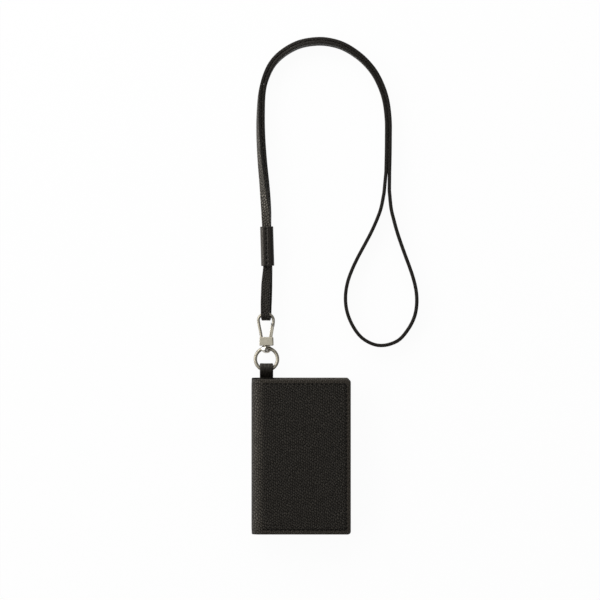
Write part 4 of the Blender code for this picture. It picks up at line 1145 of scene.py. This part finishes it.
def case_seam(high, right, face_z, sign):
    """The seam's points on one face; sign is 1 where the face looks up."""
    width = SPINE_RUN + right - SPINE_X
    outline = open_outline(high, width, SEAM_INSET)[ARC_STEPS:-ARC_STEPS]
    height = face_z - sign * SEAM_SINKS[sign]
    line = [(SPINE_X + run - SPINE_RUN, y, height) for run, y in outline]
    for end in (0, -1):
        line[end] = (line[end][0] + SEAM_START, *line[end][1:])
    return line


for name, high, right, face_z, sign, body in (
    ("front_seam", FRONT_TOP, CASE_RIGHT, CASE_DEEP, 1, "front_half"),
    ("back_seam", CASE_TOP, BACK_RIGHT, 0.0, -1, "back_half"),
):
    stitches = stitch_row(case_seam(high, right, face_z, sign), Vector((0, 0, sign)),
                          SEAM_PITCH, slant=SEAM_SLANT)
    seam = add_piece(name, stitches, thread, body)
    print(name, len(seam.data.polygons), "faces")

# %% [markdown]
# ### Linings
# Inside, each half has a thin smooth lining that runs on round the inside of the spine,
# so the same skin makes it, on a smaller bend.

# %% Linings
LINING_THICK = 0.0005
LINING_MARGIN = 0.0006
LINING_LEVELS = ((0.0100, 0.0, 0), (0.0007, 0.0, 0), (0.00012, 0.0, 0), (0, 0.00012, 0),
                 (0, LINING_THICK - 0.00012, 0), (0.00012, LINING_THICK, 0),
                 (0.0007, LINING_THICK, 0), (0.0100, LINING_THICK, 0))
BACK_LINING_Z, FRONT_LINING_Z = 0.0028, 0.0094
LINING_BEND = (0.0045, (FRONT_LINING_Z - BACK_LINING_Z) / 2,
               (FRONT_LINING_Z + BACK_LINING_Z) / 2)


def lining_skin(high, right, side):
    """A lining is a cover's skin, brought in from the rim by its margin."""
    width = SPINE_RUN + right - LINING_MARGIN - SPINE_X
    (points, faces), _ = cover_skin(high - LINING_MARGIN, width, LINING_LEVELS, side,
                                    LINING_BEND, LINING_THICK)
    return [(x, max(y, CASE_BOTTOM + LINING_MARGIN), z) for x, y, z in points], faces


for name, nodes, body, high, right, side in (
    ("front_inner_leather", ("front_lining", "spine_lining"), "front_half", FRONT_TOP,
     CASE_RIGHT, 1),
    ("back_inner_leather", ("back_lining", "spine_lining"), "back_half", CASE_TOP,
     BACK_RIGHT, -1),
):
    inner = add_piece(name, lining_skin(high, right, side), lining_leather,
                      None, nodes, 50.0)
    SPINE_X - LINING_BEND[0]
    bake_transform(inner)
    print(name, len(inner.data.polygons), "faces")

# %% [markdown]
# ### Card pockets
# The back half carries three stepped card pockets of thin leather. Each is one panel with
# a thumb notch, and its top edge is painted and creased along its run.

# %% Pockets
POCKET_THICK = 0.0007
POCKET_MARGIN = 0.0012
POCKET_TOPS = (0.031, 0.015, -0.001)
POCKET_GAP = 0.0003
THUMB_WIDTH, THUMB_DEPTH = 0.0105, 0.0045
NOTCH_STEPS = 24


def pocket_outline(top, inset):
    """A panel with a rounded lower corner and a shallow thumb notch in its top edge."""
    left = SPINE_X + POCKET_MARGIN + inset
    right = BACK_RIGHT - LINING_MARGIN - inset
    low = CASE_BOTTOM + LINING_MARGIN + inset
    radius = corner_radius(inset)
    points = [(left, low)]
    points += arc(right - radius, low + radius, radius, -math.pi / 2, math.pi / 2, 6)
    points.append((right, top - inset))
    middle = (left + right) / 2
    for i in range(NOTCH_STEPS + 1):
        share = 1 - 2 * i / NOTCH_STEPS
        notch = smooth_share(1 - abs(share)) * THUMB_DEPTH
        points.append((middle + share * THUMB_WIDTH, top - inset - notch))
    points.append((left, top - inset))
    return points


def pocket_rings(top, low, high):
    """A pocket's outlines from its under side to its top, and their rim marks."""
    levels = ((0.0004, low), (0.00012, low), (0, low + 0.00015), (0, high - 0.00015),
              (0.00012, high), (0.0008, high), (0.0011, high - 0.00008),
              (0.0014, high - 0.00010), (0.0017, high - 0.00008), (0.0020, high),
              (0.0100, high))
    rings = [[(x, y, z) for x, y in pocket_outline(top, inset)] for inset, z in levels]
    rims = [share for inset, z in levels
            for share in [1.0 if inset < 0.0002 else 0.0] * len(rings[0])]
    return rings, rims


level = BACK_LINING_Z + LINING_THICK + POCKET_GAP
for place, top in zip(("upper", "middle", "lower"), POCKET_TOPS):
    pocket_shape, pocket_rims = pocket_rings(top, level, level + POCKET_THICK)
    add_piece("pocket_" + place, skin(pocket_shape), lining_leather,
              "back_half", ["card_pocket_" + place], 50.0, {"rim": pocket_rims})
    level += POCKET_THICK + POCKET_GAP
print("pockets end at", round(level * 1000, 2), "mm")

# %% [markdown]
# ### The pass window
# The front half holds a pass behind clear film, under a leather frame that is sewn
# round its window. A hole cut by a Boolean would leave ragged faces, so the frame is one
# closed skin from its outer edge to the window and back underneath.

# %% Window frame
FRAME_LOW, FRAME_HIGH = 0.0072, 0.0080
FRAME_BORDER = 0.0062
CORNER_GROWTH = 0.25
WINDOW_SEAM_INSET, WINDOW_SEAM_SINK = 0.0018, 0.00018
FRAME_BOX = (SPINE_X + POCKET_MARGIN, CASE_RIGHT - LINING_MARGIN,
             CASE_BOTTOM + LINING_MARGIN, FRONT_TOP - LINING_MARGIN)


def rounded_box(box, inset, radius):
    """A box's outline with round corners, as points of its plane."""
    left, right, low, high = box
    left, right, low, high = left + inset, right - inset, low + inset, high - inset
    points = []
    for number, (x, y, dx, dy) in enumerate(((left, low, 1, 1), (right, low, -1, 1),
                                             (right, high, -1, -1), (left, high, 1, -1))):
        points += arc(x + dx * radius, y + dy * radius, radius,
                      math.pi + math.pi / 2 * number, math.pi / 2, 7)
    return points


# inset, how far toward the inside of the case, and the rim mark
FRAME_LEVELS = (
    (0.0, 0.0, 1), (0.0, 0.0005, 1), (0.00015, 0.0007, 1), (0.0005, 0.0008, 0),
    (FRAME_BORDER - 0.0024, 0.0008, 0), (FRAME_BORDER - 0.0021, 0.00072, 0),
    (FRAME_BORDER - 0.0018, 0.00065, 0), (FRAME_BORDER - 0.0015, 0.00072, 0),
    (FRAME_BORDER - 0.0006, 0.0008, 0), (FRAME_BORDER - 0.0002, 0.0007, 1),
    (FRAME_BORDER, 0.0005, 1), (FRAME_BORDER, 0.0, 1),
)
frame_rings, frame_rims = [], []
for inset, rise, rim in FRAME_LEVELS:
    outline = rounded_box(FRAME_BOX, inset, CORNER + inset * CORNER_GROWTH)
    frame_rings.append([(x, y, FRAME_HIGH - rise) for x, y in outline])
    frame_rims += [float(rim)] * len(outline)
window = add_piece("window_leather", skin(frame_rings, closed=True), lining_leather,
                   "front_half", ["window_frame"], 50.0,
                   {"rim": frame_rims})
seam_line = rounded_box(FRAME_BOX, FRAME_BORDER - WINDOW_SEAM_INSET,
                        CORNER + FRAME_BORDER * CORNER_GROWTH)
seam_line = [(x, y, FRAME_LOW + WINDOW_SEAM_SINK) for x, y in seam_line + seam_line[:1]]
window_seam = add_piece("window_seam", stitch_row(seam_line, Vector((0, 0, -1)), SEAM_PITCH),
                        thread, "front_half")
print("window:", len(window.data.polygons), "and", len(window_seam.data.polygons), "faces")

# %% [markdown]
# ### Film and boards
# Some plain solids need no new shape, only a fuller material. The film is a sheet of soft
# plastic, nearly clear, a little glossy and scuffed. Real refraction would bend nothing
# in so thin a sheet, so a low alpha does. The boards are pressed fibre.


# %% Film and boards
def film_finish():
    """Clear plastic with scuffs and a slow ripple."""
    made, shader, start = open_finish("clear_film", {"IOR": 1.46})
    place = object_place(start)
    scuffs = noise(start, place, 0.0045, 6.0).step(0.35, 0.85)
    feed(shader, base=scuffs.between(colour(0.60, 0.63, 0.66), colour(0.78, 0.80, 0.82)))
    feed(shader, rough=0.08 + 0.12 * scuffs, alpha=0.13 + 0.04 * scuffs)
    ripple = noise(start, place, 0.030, 1.0)
    feed(shader, normal=relief(start, ripple, 0.0003, 0.4))
    return made


def board_finish():
    """Dull board with fine fibres."""
    made, shader, start = open_finish("board", {})
    fibres = noise(start, object_place(start), 0.0006, 4.0)
    feed(shader, base=fibres.between(colour(0.24, 0.21, 0.17), colour(0.36, 0.33, 0.27)))
    feed(shader, rough=0.85 + 0.1 * fibres, normal=relief(start, fibres, 0.00005))
    return made


def dress(names, finish):
    """Gives carried-over solids a fuller material."""
    for name in names:
        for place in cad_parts[name].material_slots:
            place.material = finish


dress(("window_film",), film_finish())
dress(("back_board", "front_board"), board_finish())
print("finishes: clear_film, board")

# %% [markdown]
# ## Tab
# The tab is a strap end, bent round the ring and sewn into the top of the back half.
# Its route in the side view is an arc round the ring with a tangent down to the case on
# each side. The strip section of the neck strap does for it too.

# %% Tab
TAB_WIDTH, TAB_PLY = 0.0094, 0.0013
TAB_AXIS_Y = 0.0613
TAB_MIDDLE_RADIUS = 0.0026 + TAB_PLY / 2
TAB_ROOT_Y, TAB_ROOT_Z = 0.0462, 0.0020
TAB_PINCH_Y = CASE_TOP + 0.0004
TAB_ROOT_RISE, TAB_PINCH_RISE = 0.00062, 0.00070
TAB_STEPS = 26


def tab_side(sign):
    """Where a tangent from the root meets the loop, as an angle; sign is 1 in front."""
    dy, dz = TAB_PINCH_Y - TAB_AXIS_Y, TAB_ROOT_Z + sign * 0.0002 - HOOK_Z
    return math.atan2(dz, dy) - sign * math.acos(TAB_MIDDLE_RADIUS / math.hypot(dy, dz))


def tab_line():
    """The tab's middle line from its front root round the ring to its back root."""
    first, last = tab_side(1), tab_side(-1)
    while last > first:
        last -= 2 * math.pi
    loop = arc(TAB_AXIS_Y, HOOK_Z, TAB_MIDDLE_RADIUS, first, last - first, TAB_STEPS)
    level = TAB_ROOT_Z + TAB_ROOT_RISE
    front_root = [(TAB_ROOT_Y, level), (CASE_TOP - 0.0030, level),
                  (TAB_PINCH_Y, TAB_ROOT_Z + TAB_PINCH_RISE)]
    back_root = [(y, 2 * TAB_ROOT_Z - z) for y, z in reversed(front_root)]
    line = evenly(smooth_path(front_root, 6) + loop + smooth_path(back_root, 6), 0.0005)
    return [(Vector((HOOK_X, y, z)), Vector((1, 0, 0))) for y, z in line]


tab_rings, tab_marks = sweep_strip(tab_line(), TAB_WIDTH, TAB_PLY)
tab = add_piece("leather_tab", skin(tab_rings), tab_leather, "back_half",
                ["tab_loop"], marks=tab_marks)
print("tab faces:", len(tab.data.polygons))

# %% [markdown]
# ## Metal
# Ring, eye and snap hook are cast or bent, with satin nickel plate. The plate is a warm
# grey with fine pits and slow blotches, which vary its roughness. In the photograph its
# flanks mirror a dark room. A room built round the scene would spoil the white
# background, so the colour itself falls to a darker one on the flanks.


# %% Metal finish
def nickel(name, flank, dark, light, roughness, lean=0.0, span=(0.45, 0.95)):
    """Satin plate: blotches of dark and light where it faces up or down, else flank.

    lean moves the lighter colour to the left, as a painted highlight on the side lit from
    the left, and span says over which part of the turn from the flank to the face the colour
    changes.
    """
    made, shader, start = open_finish(name, {"Metallic": 1.0})
    place = object_place(start)
    blotches = noise(start, place, 0.0022, 4.0)
    pits = noise(start, place, 0.00035, 3.0)
    normal = start.node("ShaderNodeTexCoord", output=1)
    across, through = (start.node("ShaderNodeSeparateXYZ", None, {0: normal}, axis)
                       for axis in (0, 2))
    # lean makes the left-facing side lighter: a painted highlight
    facing = through.math("ABSOLUTE") - lean * across
    face = blotches.step(0.3, 0.75).between(colour(*dark), colour(*light))
    feed(shader, base=facing.step(*span).between(colour(*flank), face))
    feed(shader, rough=roughness + 0.16 * (pits - 0.5) + 0.14 * (blotches - 0.5))
    feed(shader, normal=relief(start, pits, 0.00002, 0.35))
    return made


satin_nickel = nickel("satin_nickel", (0.10, 0.080, 0.058), (0.60, 0.560, 0.455),
                      (0.72, 0.675, 0.550), 0.47)
# painted highlight: the eye's left side takes the bright colour and its right the dark flank,
# as lit from the left
lit_left_eye_nickel = nickel("lit_left_eye_nickel", (0.24, 0.205, 0.155), (0.66, 0.63, 0.55),
                    (0.88, 0.86, 0.80), 0.30, lean=0.25, span=(0.05, 0.75))
# painted shade: near-black nickel for the gate's lip, standing in for the shade in the slit
slit_shade_nickel = nickel("slit_shade_nickel", (0.03, 0.025, 0.02), (0.05, 0.042, 0.032),
                       (0.07, 0.060, 0.046), 0.60)
# painted shade: the same plate as satin_nickel, given a darker colour on the round wires, which
# catch the lamp's highlights
shaded_wire_nickel = nickel("shaded_wire_nickel", (0.10, 0.080, 0.058), (0.42, 0.390, 0.315),
                     (0.52, 0.485, 0.395), 0.48)
spring_steel = nickel("spring_steel", (0.22, 0.22, 0.22), (0.30, 0.30, 0.30),
                      (0.46, 0.46, 0.46), 0.30)
print("metals:", ", ".join(made.name for made in (
    satin_nickel, lit_left_eye_nickel, slit_shade_nickel, shaded_wire_nickel, spring_steel)))

# %% [markdown]
# ### Tubes and turned parts
# Round wire is swept as a tube with enough sides to look drawn, and the eye's shank is
# turned, as on a lathe. A Skin or Screw modifier would do it too, but then the faces
# couldn't be joined with others in one mesh so simply.


# %% Tubes and turned parts
def tube(points, radii, sides, closed=False):
    """Rings of a round tube that don't twist."""
    path = [Vector(point) for point in points]
    count = len(path)
    rings = []
    side = None
    for i, point in enumerate(path):
        before, after = neighbours(path, i)
        if closed:
            before, after = path[i - 1], path[(i + 1) % count]
        along = (after - before).normalized()
        side = along.orthogonal() if side is None else side
        side = (side - along * side.dot(along)).normalized()
        other = along.cross(side)
        rings.append(round_ring(point, side, other, radii[i], sides))
    return rings


def turned(profile, sides, centre, axis):
    """Rings of a solid of revolution; profile is (along, radius) pairs."""
    along = Vector(axis)
    side = along.orthogonal().normalized()
    other = along.cross(side)
    return [round_ring(Vector(centre) + along * distance, side, other, radius, sides)
            for distance, radius in profile]


print("helpers: tube, turned")

# %% [markdown]
# ### Ring
# The ring is bent from round wire. A torus would give the same shape, but the tube has
# as many sides as the bow's, so both wires shade alike.

# %% Ring
RING_RADIUS, RING_WIRE = 0.0078, 0.0012
RING_Y = 0.06802
RING_STEPS = 96
WIRE_SIDES = 20

circle = [(HOOK_X + RING_RADIUS * math.sin(angle), RING_Y + RING_RADIUS * math.cos(angle),
           HOOK_Z) for angle in turns(RING_STEPS)]
ring_rings = tube(circle, [RING_WIRE] * RING_STEPS, WIRE_SIDES, closed=True)
ring = add_piece("wire_ring", skin(ring_rings, closed=True), shaded_wire_nickel,
                 "ring", ["ring"])
print("ring faces:", len(ring.data.polygons))

# %% [markdown]
# ### Swivel eye
# The eye is cast: a flat broad loop round the ring's wire, on a turned plate and shank
# that end in a rivet head inside the hook. In the photograph it is turned about its
# shank, and its front is broader. A swept oval follows that better than a torus.

# %% Swivel eye
EYE_Y = 0.07582
EYE_REACH, EYE_DROP = 0.0037, 0.0026
EYE_THICK, EYE_BROAD = 0.00078, 0.0016
EYE_ROUNDNESS = 0.7
EYE_UNEVEN, EYE_SHIFT = 0.30, 0.0004
EYE_TURN = math.radians(39)
EYE_SIDES, PLATE_SIDES = 24, 40
# share of the reach, share of the drop and share of the thickness, from the plate down
EYE_LOOP = ((0.50, 0.62, 0.55), (0.78, 0.37, 0.65), (0.97, 0.12, 0.90), (1.00, -0.15, 1.00),
            (0.90, -0.48, 1.10), (0.58, -0.83, 1.20), (0.00, -1.00, 1.25))
PLATE_Y = 0.07732
# along the shank and radius
PLATE_PROFILE = ((0.0, 0.0023), (0.00006, 0.0026), (0.0002, 0.0027), (0.0004, 0.0027),
                 (0.00054, 0.0026), (0.0006, 0.0022), (0.0006, 0.0011), (0.0020, 0.0011),
                 (0.0020, 0.0018), (0.0022, 0.0019), (0.0025, 0.0017), (0.0027, 0.0009))


def squared(value):
    """Fills out an oval section towards its corners."""
    return math.copysign(abs(value) ** EYE_ROUNDNESS, value)


def eye_rings():
    """The cast loop: full oval sections, broad across the loop and broadest in front."""
    half = [(EYE_REACH * out, EYE_DROP * up, EYE_THICK * thick) for out, up, thick in EYE_LOOP]
    path = smooth_path(half + [(-out, up, thick) for out, up, thick in reversed(half[:-1])], 6)
    across = Vector((math.cos(EYE_TURN), 0, math.sin(EYE_TURN)))
    rings = []
    for i, (out, up, thick) in enumerate(path):
        before, after = neighbours(path, i)
        along = Vector((after[0] - before[0], after[1] - before[1])).normalized()
        broad = EYE_BROAD * (1 + EYE_UNEVEN * out / EYE_REACH)
        shift = EYE_SHIFT * max(out / EYE_REACH, 0.0)
        ring = []
        for angle in turns(EYE_SIDES):
            side = thick * squared(math.cos(angle))
            reach, rise = out - along.y * side, up + along.x * side
            place = Vector((HOOK_X - reach * math.sin(EYE_TURN), EYE_Y + rise,
                            HOOK_Z + reach * math.cos(EYE_TURN)))
            ring.append(place + across * (shift + broad * squared(math.sin(angle))))
        rings.append(ring)
    return rings


eye_parts = joined([
    skin(eye_rings()),
    skin(turned(PLATE_PROFILE, PLATE_SIDES, (HOOK_X, PLATE_Y, HOOK_Z), (0, 1, 0))),
])
eye = add_piece("swivel_loop", eye_parts, lit_left_eye_nickel, "swivel_eye",
                ["swivel_eye"], 50.0)
print("eye faces:", len(eye.data.polygons))

# %% [markdown]
# ### Snap hook
# The bow is bent wire that runs out to a shoulder, over the top and down to a nose with
# sloped faces and a slot for the gate. It is swept as a tube along given points,
# and the slot is cut by a Boolean, because it is one clean cut through a round end.

# %% Line of the bow
HOUSING_TOP_Y = 0.08355
BOW_WIRE = 0.0010
BOW_HEIGHT = 0.01645
BOW_SHOULDER, BOW_SHOULDER_RISE = 0.0057, 0.01185
BOW_LEG, BOW_NOSE = 0.00357, 0.0049
BOW_ROOT, BOW_NECK = -0.0026, -0.0012
BOW_STEPS = 36
NOSE_X = HOOK_X + 0.00455
NOSE_Y = HOUSING_TOP_Y + 0.0085


def bow_line():
    """The wire's middle line from its root in the housing to its nose."""
    spread = BOW_SHOULDER - BOW_LEG
    guide = ((-BOW_LEG, 0), (-BOW_LEG - 0.32 * spread, 0.33 * BOW_SHOULDER_RISE),
             (-BOW_LEG - 0.72 * spread, 0.68 * BOW_SHOULDER_RISE),
             (-BOW_SHOULDER, BOW_SHOULDER_RISE))
    points = smooth_path(guide, 8)[:-1]
    centre, reach = (BOW_NOSE - BOW_SHOULDER) / 2, (BOW_NOSE + BOW_SHOULDER) / 2
    lift = BOW_HEIGHT - BOW_SHOULDER_RISE
    for i in range(BOW_STEPS + 1):
        angle = math.pi - math.pi * i / BOW_STEPS
        points.append((centre + reach * math.cos(angle),
                       BOW_SHOULDER_RISE + lift * math.sin(angle)))
    points.append((BOW_NOSE, NOSE_Y - HOUSING_TOP_Y + 2 * BOW_WIRE))
    points.append((NOSE_X - HOOK_X, NOSE_Y - HOUSING_TOP_Y))
    foot = [(-BOW_LEG, BOW_ROOT), (-BOW_LEG, BOW_NECK)]
    return [(HOOK_X + x, HOUSING_TOP_Y + y, HOOK_Z) for x, y in foot + points]


bow_points = bow_line()
print("bow wire:", round(run_lengths(bow_points)[-1] * 1000, 1), "mm")

# %% Bow
NOSE_SLOPE = 1.25
ROOT_RADIUS = 0.0007
SLOT_HALF = 0.0006


def carve(piece, rings):
    """Cuts the solid over two rings of points out of a piece."""
    cutter = add_piece("cutter", skin(rings), piece.data.materials[0])
    cut = piece.modifiers.new("cut", "BOOLEAN")
    cut.operation, cut.solver, cut.object = "DIFFERENCE", "EXACT", cutter
    bpy.context.view_layer.update()
    solid = piece.evaluated_get(bpy.context.evaluated_depsgraph_get())
    piece.data = bpy.data.meshes.new_from_object(solid)
    piece.modifiers.remove(cut)
    bpy.data.objects.remove(cutter)


bow_radii = [ROOT_RADIUS] * 2 + [BOW_WIRE] * (len(bow_points) - 2)
bow_rings = tube(bow_points, bow_radii, WIRE_SIDES)
bow_rings[-1] = [(x, NOSE_Y - (x - NOSE_X) * NOSE_SLOPE, z) for x, y, z in bow_rings[-1]]
bow = add_piece("bow_wire", skin(bow_rings), shaded_wire_nickel, sharp=50.0)
slot_left, slot_right = NOSE_X - 0.0020, NOSE_X + 0.00035
slot_low, slot_high = NOSE_Y - 0.00125, NOSE_Y + 0.0016
nose_slot = ((slot_left, slot_low), (slot_right, slot_low), (slot_right, slot_high),
             (slot_left, slot_high))
carve(bow, [[(x, y, HOOK_Z + z) for x, y in nose_slot] for z in (-SLOT_HALF, SLOT_HALF)])
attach(bow, "hook")
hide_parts("hook_bow")
print("bow faces:", len(bow.data.polygons))

# %% [markdown]
# ### Body and gate
# The body and the gate are cast: their solids are right, and only need the small rounded
# edges of a casting, which a Bevel modifier on a copy gives. The body's right front edge
# has a broader chamfer, and the gate a groove down each face. Each cut takes the rounding
# so far into the mesh, and the modifier stays on, so the cut's own edges are soft too.

# %% Body and gate
HOUSING_RIGHT, HOUSING_FRONT = -0.01935, 0.00747
GATE_FRONT = 0.00502
GATE_GROOVE = ((HOOK_X + 0.00235, HOUSING_TOP_Y + 0.0002),
               (HOOK_X + 0.00345, HOUSING_TOP_Y + 0.0080))
GROOVE_SECTION = ((-0.00024, 0.0001), (0.00024, 0.0001), (0, -0.00032))
CHAMFER_WIDTH, CHAMFER_DEPTH = 0.0010, 0.0007
CHAMFER_ENDS = (HOUSING_TOP_Y - 0.0070, HOUSING_TOP_Y + 0.0010)
CUT_SPARE = 0.0001
HOUSING_ROUND, GATE_ROUND = 0.00022, 0.00010


def softened(node, name, body, width):
    """A copy of a solid with the rounded edges of a casting."""
    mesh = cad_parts[node].data.copy()
    made = bpy.data.objects.new(name, mesh)
    bpy.context.scene.collection.objects.link(made)
    mesh.materials.clear()
    mesh.materials.append(satin_nickel)
    soften = made.modifiers.new("soften", "BEVEL")
    soften.width = width
    soften.segments = 2
    soften.limit_method = "ANGLE"
    soften.angle_limit = math.radians(35)
    soften.harden_normals = True
    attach(made, body)
    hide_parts(node)
    return made


body_piece = softened("housing", "hook_body", "hook", HOUSING_ROUND)
inner_x, outer_x = HOUSING_RIGHT - CHAMFER_WIDTH, HOUSING_RIGHT + CUT_SPARE
chamfer = ((inner_x, HOUSING_FRONT + CUT_SPARE), (outer_x, HOUSING_FRONT + CUT_SPARE),
           (outer_x, HOUSING_FRONT - CHAMFER_DEPTH), (inner_x, HOUSING_FRONT))
carve(body_piece, [[(x, y, z) for x, z in chamfer] for y in CHAMFER_ENDS])
gate_piece = softened("gate", "hook_gate", "gate", GATE_ROUND)
for face, turn in ((GATE_FRONT, 1), (2 * HOOK_Z - GATE_FRONT, -1)):
    carve(gate_piece, [[(x + dx, y, face + turn * dz) for dx, dz in GROOVE_SECTION]
                       for x, y in GATE_GROOVE])
dress(("gate_pin", "gate_spring"), spring_steel)
print("body and gate:", len(body_piece.data.polygons), len(gate_piece.data.polygons), "faces")

# %% [markdown]
# ### Gate lip
# Between the gate's tip and the nose the photograph shows a dark slit, and the white
# floor would show through it. A small lip on the gate lies back from both faces and fills
# most of it, as the tongue of a cast gate does, and its near-black colour is painted shade.

# %% Gate lip
GATE_TIP_X = HOOK_X + 0.00412
LIP_LEFT, LIP_RIGHT = GATE_TIP_X - 0.00095, GATE_TIP_X + 0.00105
LIP_BACK, LIP_FRONT = HOOK_Z - 0.00075, HOOK_Z + 0.00040
LIP_FOOT, LIP_GAP = 0.0013, 0.00012


def below_nose(x, drop):
    """The height of a point that lies drop below the nose's slope."""
    return NOSE_Y - (x - NOSE_X) * NOSE_SLOPE - drop


lip_outline = [(x, below_nose(x, drop)) for x, drop in (
    (LIP_LEFT, LIP_FOOT), (LIP_RIGHT, LIP_FOOT), (LIP_RIGHT, LIP_GAP), (LIP_LEFT, LIP_GAP))]
lip = add_piece("gate_shade_lip", skin([[(x, y, z) for x, y in lip_outline]
                                  for z in (LIP_BACK, LIP_FRONT)]),
                slit_shade_nickel, "gate", sharp=30.0)
print("lip faces:", len(lip.data.polygons))
